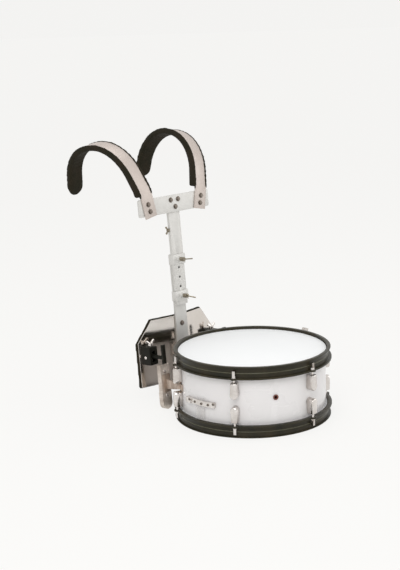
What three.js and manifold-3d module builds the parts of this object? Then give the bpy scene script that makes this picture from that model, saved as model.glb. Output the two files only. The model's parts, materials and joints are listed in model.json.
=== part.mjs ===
// A marching snare drum on its shoulder carrier, in millimetres.
// The drum stands on its lower hoop. The player faces -Y and stands behind the belly plate, at +Y,
// so +X is the player's left. The drum is drawn round its own axis, and the whole is centred last.

import * as THREE from 'three';
import { mergeVertices } from 'three/addons/utils/BufferGeometryUtils.js';
import Module from 'manifold-3d';

const wasm = await Module();
wasm.setup();

// Fits shared by all pieces
const fitGap = 0.3;
const runningGap = 0.5;
const cutOverrun = 2;
const joinDepth = 1;
const weldTolerance = 0.0001;

// Counts of facets
const drumFacets = 60;
const boreFacets = 12;
const shaftFacets = 8;
const bendFacets = 6;
const cornerFacets = 4;

// Drum shell
const shellRadius = 177.8;
const shellWall = 6;
const shellDepth = 155;
const drumHeight = 169.5;
const edgeRound = 1.2;

// Drumheads: a film with a collar down to its flesh hoop
const filmThickness = 0.7;
const collarGap = 0.4;
const fleshHoopWidth = 2;
const fleshHoopHeight = 8;
const fleshHoopDepth = 19.7;

// Counter hoops: lip, wall, seat bead inside and a flange with ears
const hoopHeight = 29.5;
const hoopWall = 2.3;
const hoopGap = 1;
const lipReach = 6.1;
const lipThickness = 2.6;
const lipRound = 0.9;
const flangeReach = 8.5;
const flangeThickness = 4;
const beadReach = 1.8;
const beadHeight = 2.2;
const earRadius = 8;
const rodHoleGap = 0.6;

// Tension rods and their washers
const rodCount = 6;
const rodRadius = 2.75;
const rodTipGap = 1;
const washerRadius = 6;
const washerThickness = 1.5;
const washerGap = 0.4;
const keyCollarRadius = 4.6;
const keyCollarHeight = 3.5;
const keyHeadWidth = 6.4;
const keyHeadHeight = 11.5;

// Lug casings
const lugDrop = 12;
const lugSpacing = 18.5;
const lugNeckWidth = 15;
const lugRoundRadius = 9.5;
const lugReach = 7.8;
const lugBevel = 2.6;
const lugBevelDepth = 3.4;
const lugBoreGap = 0.65;
const lugFloor = 3;

// Vent through the shell, lined by a grommet
const ventAngle = 240;
const ventHeight = 92.5;
const ventHoleRadius = 4.8;
const ventTubeWall = 1;
const ventFlangeRadius = 6.4;
const ventFlangeHeight = 1.6;

// Snares under the lower head, with a strap at each end
const strandCount = 12;
const strandPitch = 4.4;
const strandRadius = 0.8;
const wireInset = 27.8;
const wirePlateLength = 14;
const wirePlateWidth = 56;
const wirePlateThickness = 1.7;
const strapWidth = 28;
const strainerStrapWidth = 22;
const strapThickness = 0.8;
const strapLap = 10;
const strapGap = 0.3;
const gateMargin = 2;

// Butt strip that clamps the fixed end of the snares
const buttHeight = 71;
const buttDepth = 13;
const buttHalfArc = 14;
const buttFootGap = 10.8;
const buttThickness = 2.6;
const buttBlockRise = 4;
const buttStrapLap = 5;

// Strainer that releases the snares: its levels are shares of the height between the two hoops
const strainerLowShare = 0.13;
const strainerHighShare = 0.84;
const strainerHalfArc = 6.5;
const strainerBaseThickness = 2;
const cheekReach = 17.8;
const cheekInset = 12.5;
const cheekThickness = 3;
const cheekLowShare = 0.19;
const cheekHighShare = 0.67;
const pivotReach = 12.8;
const pivotShare = 0.53;
const pivotRadius = 2.5;
const leverHubRadius = 7;
const leverThickness = 4.5;
const leverWidth = 18;
const leverRise = 2.5;
const leverCurlReach = 5;
const leverCurlHeight = 12;
const carriageLowShare = 0.15;
const carriageHighShare = 0.33;
const carriageReach = 15;
const carriageSideGap = 1;
const knobRadius = 8;
const knobHeight = 9;
const knobGap = 3;
const knobFlutes = 12;
const knobFluteShare = 0.92;
const screwRadius = 2.5;

// Carrier: it leans back, and its own lengths run across, back from the front of the bar, and up along it
const carrierGap = 39.2;
const carrierLean = 4.65;

// Height bar, an open channel that faces back
const barWidth = 38;
const barDepth = 7.5;
const barWall = 2.5;
const barUnderCollar = 23;
const barOverCross = 17.5;
const indexHoleRadius = 3.1;
const indexHolePitch = 24;
const indexHoleLow = 260.5;
const indexHoleCount = 5;

// Spine on the belly plate, with two collars round the bar
const collarWall = 2.1;
const spineLow = 100;
const spineOverhang = 1.5;
const spineThickness = 5;
const collarThickness = 2.5;
const collarHeight = 25;
const lowerCollar = 261;
const upperCollar = 354;
const bossRadius = 7;
const bossLength = 6;

// Belly plate with bent wings and cut corners, and the foam behind it
const plateLow = 46;
const plateHigh = 210.5;
const plateHalfWidth = 130;
const plateFlatHalf = 25;
const plateBend = 12;
const plateThickness = 2.5;
const chamferIn = 87;
const chamferLow = 158;
const bellyPadThickness = 9;
const bellyPadMargin = 3;
const bellyPadRound = 3;
const bellyPadCrown = 3;

// Clamp blocks on the plate, with a slot for the hanger's stud
const blockPlace = 109;
const blockWidth = 26;
const blockFront = 5;
const blockBelow = 21;
const blockAbove = 24.5;
const liftHeight = 125;
const liftTravel = 8;
const studRadius = 5;
const studHeadRadius = 8;
const studHeadFront = 9.5;
const studHeadLength = 10;
const liftScrewRadius = 3;
const liftScrewFloor = 3;

// Hanger post and leg
const legPlace = 115;
const legWidth = 29;
const legFront = -38;
const legDepth = 13;
const legWall = 3;
const legTop = 111;
const legClearance = 1.5;
const postWidth = 10;
const postDepth = 6;
const postBelow = 57;
const postAbove = 33;

// Arms that hold the drum
const armSwing = 27.3;
const armFootHalfWidth = 13;
const armFootThickness = 3;
const armFootGap = 1.2;
const armThickness = 6;
const armDrumHeight = 12;
const armLegHeight = 26;
const armPlateWidth = 22;
const armPlateThickness = 4;
const armPlateLow = 42;
const armPlateHigh = 86;
const armLegLevel = 62;

// Crossbar and shoulder bars
const crossHalfWidth = 120;
const crossHeight = 43;
const crossThickness = 4.5;
const crossRise = 141.5;
const crossRound = 5;
const shoulderPlace = 88;
const shoulderWidth = 38;
const shoulderThickness = 3;
const shoulderSplay = 11;
const shoulderYaw = 1.1;
const shoulderBowDepth = 7;
const shoulderReach = 250;
const boltedBelow = 25;

// Arch of each shoulder bar: straight runs and bends, from the crossbar up and over the shoulder
const lowerRunLength = 50;
const lowerBendRadius = 78;
const leftLowerTurn = 8.3;
const rightLowerTurn = 21.8;
const upperRunLength = 37.3;
const frontBendRadius = 122;
const frontTurn = 62.7;
const topBendRadius = 151;
const topTurn = 19;
const rearBendRadius = 96;
const leftRearTurn = 79.8;
const rightRearTurn = 59.5;
const leftTailLength = 39;
const rightTailLength = 59;
const archStep = 15;

// Shoulder pads under the shoulder bars
const padWidth = 45;
const padThickness = 10;
const padFrontThickness = 18.5;
const padTaperLength = 190;
const padStart = 58;
const padOverhang = 20;
const padTipRadius = 22;
const padEndRound = 3;
const padSectionPoints = 12;
const padSquarenessShare = 0.36;
const padTipSteps = 5;
const padTipTurn = 85;

// Wing screws: shaft, hub and two ears
const barScrew = {
  shaftRadius: 2.6, shaftLength: 8.7, hubRadius: 5.5, hubLength: 12,
  earPlace: 12, earRise: 25, earRadius: 4, earThickness: 2.6,
};
const liftScrew = {
  shaftRadius: liftScrewRadius, shaftLength: blockBelow + blockAbove - liftScrewFloor,
  hubRadius: 6.5, hubLength: 9, earPlace: 10, earRise: 13, earRadius: 4, earThickness: 3,
};
const sideScrew = {
  shaftRadius: 2.4, shaftLength: 2.5, hubRadius: 4.5, hubLength: 5,
  earPlace: 7, earRise: 9, earRadius: 3, earThickness: 2.2,
};
const sideScrewDrop = 65.5;
const upperScrewTurn = 0;
const lowerScrewTurn = -25;
const earRootShare = 0.2;

// Sizes that follow from those above
const edgeInset = (drumHeight - shellDepth) / 2;
const fleshHoopInner = shellRadius + collarGap;
const fleshHoopOuter = fleshHoopInner + fleshHoopWidth;
const hoopInner = fleshHoopOuter + hoopGap;
const hoopOuter = hoopInner + hoopWall;
const rodCircle = hoopOuter + washerGap + washerRadius;
const flangeSeat = hoopHeight - flangeThickness;
const washerLevel = drumHeight - flangeSeat + fitGap;
const lugTop = drumHeight - flangeSeat - lugDrop;
const lugBack = shellRadius + fitGap;
const lugLow = (drumHeight + lugSpacing) / 2;
const lugBoreFloor = lugLow + lugFloor;
const wireHalfLength = shellRadius - wireInset;
const strapFace = fleshHoopOuter + strapGap;
const strainerLevel = (share) => hoopHeight + (drumHeight - hoopHeight * 2) * share;
const strainerLow = strainerLevel(strainerLowShare);
const strainerHigh = strainerLevel(strainerHighShare);
const cheekLow = strainerLevel(cheekLowShare);
const cheekHigh = strainerLevel(cheekHighShare);
const pivotHeight = strainerLevel(pivotShare);
const carriageLow = strainerLevel(carriageLowShare);
const carriageHigh = strainerLevel(carriageHighShare);
const leverTop = drumHeight + leverRise;
const wirePlateTop = edgeInset - filmThickness - fitGap - fitGap;
const strapTop = wirePlateTop - wirePlateThickness - fitGap;
const carrierBack = shellRadius + carrierGap;
const crossLevel = upperCollar + crossRise;
const barLow = lowerCollar - barUnderCollar;
const barHigh = crossLevel + barOverCross;
const sideScrewLevel = crossLevel - sideScrewDrop;
const spineHigh = upperCollar + collarHeight / 2 + spineOverhang;
const spineHalf = barWidth / 2 + runningGap;
const collarHalf = spineHalf + collarWall;
const spineFloor = barDepth + runningGap;
const spineBack = spineFloor + spineThickness;
const collarBack = -runningGap;
const collarFront = collarBack - collarThickness;
const plateFront = spineBack + fitGap;
const blockLow = liftHeight - blockBelow;
const blockHigh = liftHeight + blockAbove;
const crossBack = -fitGap;
const crossFront = crossBack - crossThickness;

// Finishes
function finish(color, roughness, metalness) {
  return new THREE.MeshStandardMaterial({ color, roughness, metalness });
}

const whiteLacquer = finish(0xe9e7ee, 0.3, 0);
const headFilm = finish(0xf7f8fa, 0.5, 0);
const blackPaint = finish(0x1d1d1a, 0.35, 0.1);
const chrome = finish(0xd8d2d4, 0.12, 1);
const satinAluminium = finish(0xd5d2d4, 0.38, 0.9);
const polishedAluminium = finish(0xcfcfd0, 0.1, 1);
const blackFoam = finish(0x1a1c17, 0.9, 0);
const blackPlastic = finish(0x141413, 0.45, 0);
const snareSteel = finish(0xb9b9b6, 0.3, 1);
const clearStrap = finish(0xe4e4e0, 0.4, 0);
const enamel = finish(0x8a4b3c, 0.3, 0.2);

const radians = THREE.MathUtils.degToRad;

// A closed geometry as a solid that can be joined and cut
function solidOf(geometry) {
  const bare = geometry.clone();
  bare.deleteAttribute('normal');
  bare.deleteAttribute('uv');
  const welded = mergeVertices(bare, weldTolerance);
  return new wasm.Manifold(new wasm.Mesh({
    numProp: 3,
    vertProperties: Float32Array.from(welded.attributes.position.array),
    triVerts: Uint32Array.from(welded.index.array),
  }));
}

function joined(geometries) {
  return geometries.map(solidOf).reduce((whole, piece) => whole.add(piece));
}

function cutBy(solid, geometries) {
  return geometries.map(solidOf).reduce((whole, tool) => whole.subtract(tool), solid);
}

function geometryOf(solid) {
  const mesh = solid.getMesh();
  const geometry = new THREE.BufferGeometry();
  geometry.setAttribute('position', new THREE.BufferAttribute(mesh.vertProperties, 3));
  geometry.setIndex(new THREE.BufferAttribute(mesh.triVerts, 1));
  geometry.computeVertexNormals();
  return geometry;
}

function part(name, shape, material) {
  const geometry = shape.isBufferGeometry ? shape : geometryOf(shape);
  const mesh = new THREE.Mesh(geometry, material);
  mesh.name = name;
  return mesh;
}

// A block between two corners
function block(low, high) {
  const size = high.map((value, i) => value - low[i]);
  const middle = high.map((value, i) => (value + low[i]) / 2);
  return new THREE.BoxGeometry(...size).translate(...middle);
}

// A round bar along Z from one level to another
function roundBar(radius, low, high, facets) {
  const bar = new THREE.CylinderGeometry(radius, radius, high - low, facets);
  return bar.rotateX(Math.PI / 2).translate(0, 0, (low + high) / 2);
}

// A profile of [radius, height] pairs, closed on itself or ending on the axis, turned round Z
function turned(profile, facets) {
  const points = profile.map(([radius, height]) => new THREE.Vector2(radius, height));
  if (THREE.ShapeUtils.isClockWise(points)) points.reverse();
  if (points[0].x > 0 || points[points.length - 1].x > 0) points.push(points[0].clone());
  return new THREE.LatheGeometry(points, facets).rotateX(Math.PI / 2);
}

// An outline drawn across and up, pushed along X as a piece on the outside of the drum is
const outwards = new THREE.Matrix4().makeBasis(
  new THREE.Vector3(0, 1, 0), new THREE.Vector3(0, 0, 1), new THREE.Vector3(1, 0, 0),
);

function pushedOut(shape, from, to, options = {}) {
  const settings = { depth: to - from, bevelEnabled: false, curveSegments: boreFacets, ...options };
  return new THREE.ExtrudeGeometry(shape, settings).translate(0, 0, from).applyMatrix4(outwards);
}

// A round bar that lies along X, at a height
function radialBar(radius, from, to, height, facets) {
  return roundBar(radius, from, to, facets).applyMatrix4(outwards).translate(0, 0, height);
}

// A curved bar that follows the shell between two angles and two heights
function arcBar(inner, outer, startAngle, endAngle, low, high) {
  const shape = new THREE.Shape();
  shape.absarc(0, 0, outer, radians(startAngle), radians(endAngle), false);
  shape.absarc(0, 0, inner, radians(endAngle), radians(startAngle), true);
  const steps = Math.ceil((endAngle - startAngle) / (360 / drumFacets));
  const settings = { depth: high - low, bevelEnabled: false, curveSegments: steps };
  return new THREE.ExtrudeGeometry(shape, settings).translate(0, 0, low);
}

function roundedPlate(halfWidth, halfHeight, radius) {
  const shape = new THREE.Shape();
  shape.absarc(halfWidth - radius, halfHeight - radius, radius, 0, Math.PI / 2, false);
  shape.absarc(radius - halfWidth, halfHeight - radius, radius, Math.PI / 2, Math.PI, false);
  shape.absarc(radius - halfWidth, radius - halfHeight, radius, Math.PI, 1.5 * Math.PI, false);
  shape.absarc(halfWidth - radius, radius - halfHeight, radius, 1.5 * Math.PI, 2 * Math.PI, false);
  return shape;
}

// Rings of points joined into one skin with a flat end at each side
function loft(rings) {
  const count = rings[0].length;
  const positions = rings.flat().flatMap((point) => point.toArray());
  const index = [];
  for (let ring = 0; ring < rings.length - 1; ring += 1) {
    for (let i = 0; i < count; i += 1) {
      const next = (i + 1) % count;
      const a = ring * count + i;
      const b = ring * count + next;
      index.push(a, b, b + count, a, b + count, a + count);
    }
  }
  const lastStart = (rings.length - 1) * count;
  for (let i = 1; i < count - 1; i += 1) {
    index.push(0, i + 1, i, lastStart, lastStart + i, lastStart + i + 1);
  }
  const geometry = new THREE.BufferGeometry();
  geometry.setAttribute('position', new THREE.Float32BufferAttribute(positions, 3));
  geometry.setIndex(index);
  return facingOut(geometry);
}

// Turns a closed skin the right way out by the sign of its volume
function facingOut(geometry) {
  const place = geometry.attributes.position;
  const index = Array.from(geometry.index.array);
  const corner = (i) => new THREE.Vector3().fromBufferAttribute(place, index[i]);
  let volume = 0;
  for (let i = 0; i < index.length; i += 3) {
    volume += corner(i).dot(corner(i + 1).cross(corner(i + 2)));
  }
  if (volume < 0) {
    for (let i = 0; i < index.length; i += 3) {
      [index[i + 1], index[i + 2]] = [index[i + 2], index[i + 1]];
    }
    geometry.setIndex(index);
  }
  geometry.computeVertexNormals();
  return geometry;
}

// Shell with a bearing edge at both ends and the vent hole
function shellSolid() {
  const outer = shellRadius;
  const crest = shellRadius - edgeRound;
  const inner = shellRadius - shellWall;
  const slope = crest - inner;
  const low = edgeInset;
  const high = drumHeight - edgeInset;
  const profile = [
    [crest, low], [outer, low + edgeRound], [outer, high - edgeRound], [crest, high],
    [inner, high - slope], [inner, low + slope],
  ];
  const vent = radialBar(ventHoleRadius, inner - cutOverrun, outer + cutOverrun, ventHeight, boreFacets);
  return cutBy(solidOf(turned(profile, drumFacets)), [vent.rotateZ(radians(ventAngle))]);
}

// Head for the upper end: film, collar and flesh hoop in one
function headGeometry() {
  const under = drumHeight - edgeInset + fitGap;
  const over = under + filmThickness;
  const collarOuter = fleshHoopInner + filmThickness;
  const ringTop = drumHeight - fleshHoopDepth;
  const ringLow = ringTop - fleshHoopHeight;
  return turned([
    [0, under], [fleshHoopInner, under], [fleshHoopInner, ringLow], [fleshHoopOuter, ringLow],
    [fleshHoopOuter, ringTop], [collarOuter, ringTop], [collarOuter, over], [0, over],
  ], drumFacets);
}

// Hoop for the upper end, with an ear for each rod
function hoopSolid() {
  const level = (fromTop) => drumHeight - fromTop;
  const lipEdge = hoopOuter + lipReach;
  const flangeEdge = hoopOuter + flangeReach;
  const beadLow = fleshHoopDepth - fitGap;
  const beadEdge = hoopInner - beadReach;
  const profile = [
    [hoopInner, 0], [lipEdge - lipRound, 0], [lipEdge, lipRound], [lipEdge, lipThickness],
    [hoopOuter, lipThickness], [hoopOuter, flangeSeat], [flangeEdge, flangeSeat],
    [flangeEdge, hoopHeight], [hoopInner, hoopHeight], [hoopInner, beadLow], [beadEdge, beadLow],
    [beadEdge, beadLow - beadHeight], [hoopInner, beadLow - beadHeight - beadReach],
  ].map(([radius, fromTop]) => [radius, level(fromTop)]);
  let solid = solidOf(turned(profile, drumFacets));
  const low = level(hoopHeight);
  const high = level(flangeSeat);
  for (let i = 0; i < rodCount; i += 1) {
    const angle = radians(rodAngle(i));
    const pad = roundBar(earRadius, low, high, boreFacets).translate(rodCircle, 0, 0).rotateZ(angle);
    const neck = block([hoopOuter - joinDepth, -earRadius, low], [rodCircle, earRadius, high]);
    const hole = roundBar(rodRadius + rodHoleGap, low - cutOverrun, high + cutOverrun, boreFacets);
    solid = solid.add(solidOf(pad)).add(solidOf(neck.rotateZ(angle)));
    solid = solid.subtract(solidOf(hole.translate(rodCircle, 0, 0).rotateZ(angle)));
  }
  return solid;
}

// The lower hoop is hollowed at both ends of the snares, so that the straps pass behind its wall
function gatedHoopSolid() {
  const half = strapWidth / 2 + gateMargin;
  const low = drumHeight - hoopHeight - cutOverrun;
  const high = drumHeight + cutOverrun;
  const near = hoopInner - beadReach - cutOverrun;
  const gate = block([near, -half, low], [strapFace + strapThickness + fitGap, half, high]);
  return cutBy(hoopSolid(), [gate, gate.clone().rotateZ(Math.PI)]);
}

function rodAngle(i) {
  return 90 + i * (360 / rodCount);
}

// Upper lug casing on +X: a shield outline with a bevelled front and a blind bore for the rod
function lugSolid() {
  const roundLevel = lugLow + lugRoundRadius;
  const outline = new THREE.Shape();
  outline.absarc(0, roundLevel, lugRoundRadius, Math.PI, 2 * Math.PI, false);
  outline.lineTo(lugNeckWidth / 2, lugTop);
  outline.lineTo(-lugNeckWidth / 2, lugTop);
  const front = rodCircle + lugReach;
  const bevel = {
    bevelEnabled: true, bevelThickness: lugBevelDepth, bevelSize: lugBevel, bevelOffset: -lugBevel,
    bevelSegments: 2, curveSegments: bendFacets,
  };
  const body = pushedOut(outline, lugBack, front - lugBevelDepth, bevel);
  const side = lugRoundRadius + cutOverrun;
  const behind = block(
    [lugBack - lugBevelDepth - cutOverrun, -side, lugLow - cutOverrun],
    [lugBack, side, lugTop + cutOverrun],
  );
  const bore = roundBar(rodRadius + lugBoreGap, lugBoreFloor, lugTop + cutOverrun, boreFacets);
  return cutBy(solidOf(body), [behind, bore.translate(rodCircle, 0, 0)]);
}

// Tension rod on +X: tip in the lug, washer on the hoop's ear, square key head above
function rodSolid() {
  const collarLow = washerLevel + washerThickness;
  const headLow = collarLow + keyCollarHeight;
  const headHigh = headLow + keyHeadHeight;
  const tip = lugBoreFloor + rodTipGap;
  const shaft = turned([
    [0, tip], [rodRadius, tip], [rodRadius, washerLevel],
    [washerRadius, washerLevel], [washerRadius, collarLow], [keyCollarRadius, collarLow],
    [keyCollarRadius, headLow], [0, headLow],
  ], shaftFacets);
  const half = keyHeadWidth / 2;
  const head = block([-half, -half, headLow - joinDepth], [half, half, headHigh]);
  return joined([shaft, head]).translate([rodCircle, 0, 0]);
}

// Grommet on +X: a tube through the shell with a flange outside
function ventGrommetSolid() {
  const tubeOuter = ventHoleRadius - fitGap;
  const flangeBack = shellRadius + fitGap;
  const face = flangeBack + ventFlangeHeight;
  const inside = shellRadius - shellWall;
  const flange = radialBar(ventFlangeRadius, flangeBack, face, ventHeight, shaftFacets * 2);
  const tube = radialBar(tubeOuter, inside, face, ventHeight, boreFacets);
  const boreRadius = tubeOuter - ventTubeWall;
  const bore = radialBar(boreRadius, inside - cutOverrun, face + cutOverrun, ventHeight, boreFacets);
  return cutBy(joined([flange, tube]), [bore]);
}

// Snares: two end plates joined by straight strands
function snareWires() {
  const low = wirePlateTop - wirePlateThickness;
  const half = wirePlateWidth / 2;
  const plateNear = wireHalfLength - strandRadius * 2;
  const plates = [1, -1].map((side) => {
    const ends = [side * plateNear, side * (wireHalfLength + wirePlateLength)].sort((a, b) => a - b);
    return block([ends[0], -half, low], [ends[1], half, wirePlateTop]);
  });
  const level = low + wirePlateThickness / 2;
  const strands = Array.from({ length: strandCount }, (_, i) => {
    const across = (i - (strandCount - 1) / 2) * strandPitch;
    const strand = radialBar(strandRadius, -wireHalfLength, wireHalfLength, level, cornerFacets);
    return strand.translate(0, across, 0);
  });
  return joined([...plates, ...strands]);
}

// Strap on +X: flat under the end plate, then up between hoop and shell
function strapGeometry(top, width) {
  const near = wireHalfLength + wirePlateLength - strapLap;
  const outer = strapFace + strapThickness;
  const low = strapTop - strapThickness;
  const outline = new THREE.Shape([
    new THREE.Vector2(near, low), new THREE.Vector2(outer, low), new THREE.Vector2(outer, top),
    new THREE.Vector2(strapFace, top), new THREE.Vector2(strapFace, strapTop),
    new THREE.Vector2(near, strapTop),
  ]);
  const strip = new THREE.ExtrudeGeometry(outline, { depth: width, bevelEnabled: false });
  return strip.translate(0, 0, -width / 2).rotateX(Math.PI / 2);
}

// Butt strip on +X: it bridges the strap on two feet, one of them a taller block
function buttSolid() {
  const low = buttHeight - buttDepth / 2;
  const high = buttHeight + buttDepth / 2;
  const back = shellRadius + fitGap;
  const bridge = strapOuterAt(strapWidth / 2) + fitGap;
  const face = bridge + buttThickness;
  const footArc = THREE.MathUtils.radToDeg((strapWidth / 2 + buttFootGap) / back);
  const strip = arcBar(bridge, face, -buttHalfArc, buttHalfArc, low, high);
  const foot = arcBar(back, bridge + joinDepth, footArc, buttHalfArc, low, high);
  const farFoot = arcBar(back, face + buttBlockRise, -buttHalfArc, -footArc, low, high);
  return joined([strip, foot, farFoot]);
}

// How far out the flat strap reaches at a distance from its middle
function strapOuterAt(across) {
  return Math.hypot(strapFace + strapThickness, across);
}

// Strainer frame on +X: base plate and two cheeks
function strainerSolid() {
  const back = shellRadius + fitGap;
  const face = back + strainerBaseThickness;
  const reach = face + cheekReach;
  const base = arcBar(back, face, -strainerHalfArc, strainerHalfArc, strainerLow, strainerHigh);
  const cheekOuter = cheekInset + cheekThickness;
  const cheeks = [
    block([face - strainerBaseThickness / 2, cheekInset, cheekLow], [reach, cheekOuter, cheekHigh]),
    block([face - strainerBaseThickness / 2, -cheekOuter, cheekLow], [reach, -cheekInset, cheekHigh]),
  ];
  const wide = cheekOuter + cutOverrun;
  const pinHole = roundBar(pivotRadius + runningGap, -wide, wide, boreFacets).rotateX(Math.PI / 2);
  return cutBy(joined([base, ...cheeks]), [pinHole.translate(face + pivotReach, 0, pivotHeight)]);
}

// Release lever: hub and pin between the cheeks, blade up past the hoops, tip curled out
function leverSolid() {
  const pivot = shellRadius + fitGap + strainerBaseThickness + pivotReach;
  const hubHalf = cheekInset - runningGap;
  const pinHalf = cheekInset + cheekThickness;
  const hub = roundBar(leverHubRadius, -hubHalf, hubHalf, boreFacets).rotateX(Math.PI / 2);
  const pin = roundBar(pivotRadius, -pinHalf, pinHalf, shaftFacets).rotateX(Math.PI / 2);
  const bladeBack = rodCircle + earRadius - runningGap - pivot - leverThickness;
  const bladeFront = bladeBack + leverThickness;
  const rise = leverTop - pivotHeight;
  const curlLow = rise - leverCurlHeight;
  const outline = new THREE.Shape([
    new THREE.Vector2(bladeBack, 0), new THREE.Vector2(bladeFront, 0),
    new THREE.Vector2(bladeFront, curlLow), new THREE.Vector2(bladeFront + leverCurlReach, rise),
    new THREE.Vector2(bladeBack + leverCurlReach, rise), new THREE.Vector2(bladeBack, curlLow),
  ]);
  const blade = new THREE.ExtrudeGeometry(outline, { depth: leverWidth, bevelEnabled: false });
  blade.translate(0, 0, -leverWidth / 2).rotateX(Math.PI / 2);
  return joined([hub, pin, blade]).translate([pivot, 0, pivotHeight]);
}

// Places that the carriage, its knob and the screw between them share
const carriageBack = strapFace + strapThickness + fitGap;
const knobPlace = carriageBack + carriageReach - knobRadius / 2;

// Carriage that grips the strap and takes the knob's screw
function carriageSolid() {
  const half = cheekInset - carriageSideGap;
  const body = block([carriageBack, -half, carriageLow], [carriageBack + carriageReach, half, carriageHigh]);
  const boreTop = carriageHigh - carriageSideGap;
  const bore = roundBar(screwRadius + runningGap, carriageLow - cutOverrun, boreTop, boreFacets);
  return cutBy(solidOf(body), [bore.translate(knobPlace, 0, 0)]);
}

// Fluted knob under the carriage, on its screw
function knobSolid() {
  const high = carriageLow - knobGap;
  const rim = new THREE.Shape();
  for (let i = 0; i < knobFlutes * 2; i += 1) {
    const radius = i % 2 ? knobRadius * knobFluteShare : knobRadius;
    const angle = (i * Math.PI) / knobFlutes;
    const place = [radius * Math.cos(angle), radius * Math.sin(angle)];
    if (i === 0) rim.moveTo(...place);
    else rim.lineTo(...place);
  }
  const grip = new THREE.ExtrudeGeometry(rim, { depth: knobHeight, bevelEnabled: false });
  grip.translate(0, 0, high - knobHeight);
  const screwTop = carriageHigh - carriageSideGap - knobGap;
  const screw = roundBar(screwRadius, high - joinDepth, screwTop, shaftFacets);
  return joined([grip, screw]).translate([knobPlace, 0, 0]);
}

// Wing screw along Z: the hub starts at zero, the shaft runs down from it and the ears rise
function wingScrewSolid(size) {
  const shaft = roundBar(size.shaftRadius, -size.shaftLength, joinDepth, shaftFacets);
  const hub = roundBar(size.hubRadius, 0, size.hubLength, boreFacets);
  const ears = new THREE.Shape();
  ears.absarc(size.earPlace, size.earRise, size.earRadius, -Math.PI / 2, Math.PI / 2, false);
  ears.lineTo(0, size.hubLength);
  ears.absarc(-size.earPlace, size.earRise, size.earRadius, Math.PI / 2, 1.5 * Math.PI, false);
  ears.lineTo(0, size.hubLength * earRootShare);
  const settings = { depth: size.earThickness, bevelEnabled: false, curveSegments: bendFacets };
  const blade = new THREE.ExtrudeGeometry(ears, settings);
  blade.translate(0, 0, -size.earThickness / 2).rotateX(Math.PI / 2);
  return joined([shaft, hub, blade]);
}

// Height bar: front web and two flanges, with a line of index holes and a side hole
function heightBarSolid() {
  const half = barWidth / 2;
  const inner = half - barWall;
  const body = block([-half, 0, barLow], [half, barDepth, barHigh]);
  const hollow = block(
    [-inner, barWall, barLow - cutOverrun], [inner, barDepth + cutOverrun, barHigh + cutOverrun],
  );
  const holes = Array.from({ length: indexHoleCount }, (_, i) => {
    const hole = roundBar(indexHoleRadius, -cutOverrun, barWall + cutOverrun, boreFacets);
    return hole.rotateX(-Math.PI / 2).translate(0, 0, indexHoleLow + i * indexHolePitch);
  });
  const sideRadius = sideScrew.shaftRadius + runningGap;
  const sideHole = radialBar(sideRadius, -half - cutOverrun, cutOverrun - inner, sideScrewLevel, boreFacets);
  return cutBy(solidOf(body), [hollow, ...holes, sideHole.translate(0, barDepth / 2, 0)]);
}

// Spine: a flat bar behind the height bar, with two collars round it and a threaded boss on each
function spineSolid() {
  const body = block([-spineHalf, spineFloor, spineLow], [spineHalf, spineBack, spineHigh]);
  const room = block(
    [-spineHalf, collarBack, spineLow - cutOverrun], [spineHalf, spineFloor, spineHigh + cutOverrun],
  );
  const bossFront = collarFront - bossLength;
  return [lowerCollar, upperCollar].reduce((whole, level) => {
    const low = level - collarHeight / 2;
    const band = block([-collarHalf, collarFront, low], [collarHalf, spineBack, low + collarHeight]);
    const boss = roundBar(bossRadius, bossFront, collarFront + joinDepth, shaftFacets * 2);
    const hole = roundBar(barScrew.shaftRadius + runningGap, bossFront - cutOverrun, cutOverrun, boreFacets);
    const [bossHere, holeHere] = [boss, hole].map((bar) => bar.rotateX(-Math.PI / 2).translate(0, 0, level));
    return whole.add(cutBy(joined([band, bossHere]), [room, holeHere]));
  }, solidOf(body));
}

// Where the front of the plate lies at a distance from the middle
function plateFrontAt(across, front) {
  return front + Math.max(0, Math.abs(across) - plateFlatHalf) * Math.tan(radians(plateBend));
}

// A bent sheet drawn across and back, pushed up, with its two upper corners cut away
function bentSheet(front, thickness, margin, crown, options) {
  const half = plateHalfWidth + margin;
  const places = [-half, -plateFlatHalf, plateFlatHalf, half];
  const wingMiddle = (half + plateFlatHalf) / 2;
  const backPlaces = [half, wingMiddle, plateFlatHalf, -plateFlatHalf, -wingMiddle, -half];
  const fore = places.map((x) => new THREE.Vector2(x, plateFrontAt(x, front)));
  const rear = backPlaces.map((x) => {
    const edge = Math.abs(x) === half ? 0 : crown;
    return new THREE.Vector2(x, plateFrontAt(x, front) + thickness - crown + edge);
  });
  const low = plateLow - margin;
  const high = plateHigh + margin;
  const settings = { depth: high - low, bevelEnabled: false, ...options };
  const inset = settings.bevelEnabled ? settings.bevelThickness : 0;
  settings.depth -= inset * 2;
  const sheet = new THREE.ExtrudeGeometry(new THREE.Shape([...fore, ...rear]), settings);
  sheet.translate(0, 0, low + inset);
  return cutBy(solidOf(sheet), [1, -1].map((side) => cornerCutter(side, margin)));
}

// Prism outside the line of a cut corner, from the front of the plate to behind the foam
function cornerCutter(side, margin) {
  const outer = plateHalfWidth + margin;
  const far = outer + plateHalfWidth - chamferIn;
  const slope = (plateHigh - chamferLow) / (plateHalfWidth - chamferIn);
  const lineAt = (x) => plateHigh + margin - (x - chamferIn) * slope;
  const near = chamferIn - cutOverrun;
  const top = lineAt(near);
  const outline = new THREE.Shape([
    new THREE.Vector2(side * near, top), new THREE.Vector2(side * far, lineAt(far)),
    new THREE.Vector2(side * far, top),
  ]);
  const depth = plateFrontAt(outer, plateFront) + bellyPadThickness + plateThickness;
  const prism = new THREE.ExtrudeGeometry(outline, { depth: depth + 2 * cutOverrun, bevelEnabled: false });
  return prism.rotateX(Math.PI / 2).translate(0, depth + cutOverrun, 0);
}

function bellyPlateSolid() {
  return bentSheet(plateFront, plateThickness, 0, 0, {});
}

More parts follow.
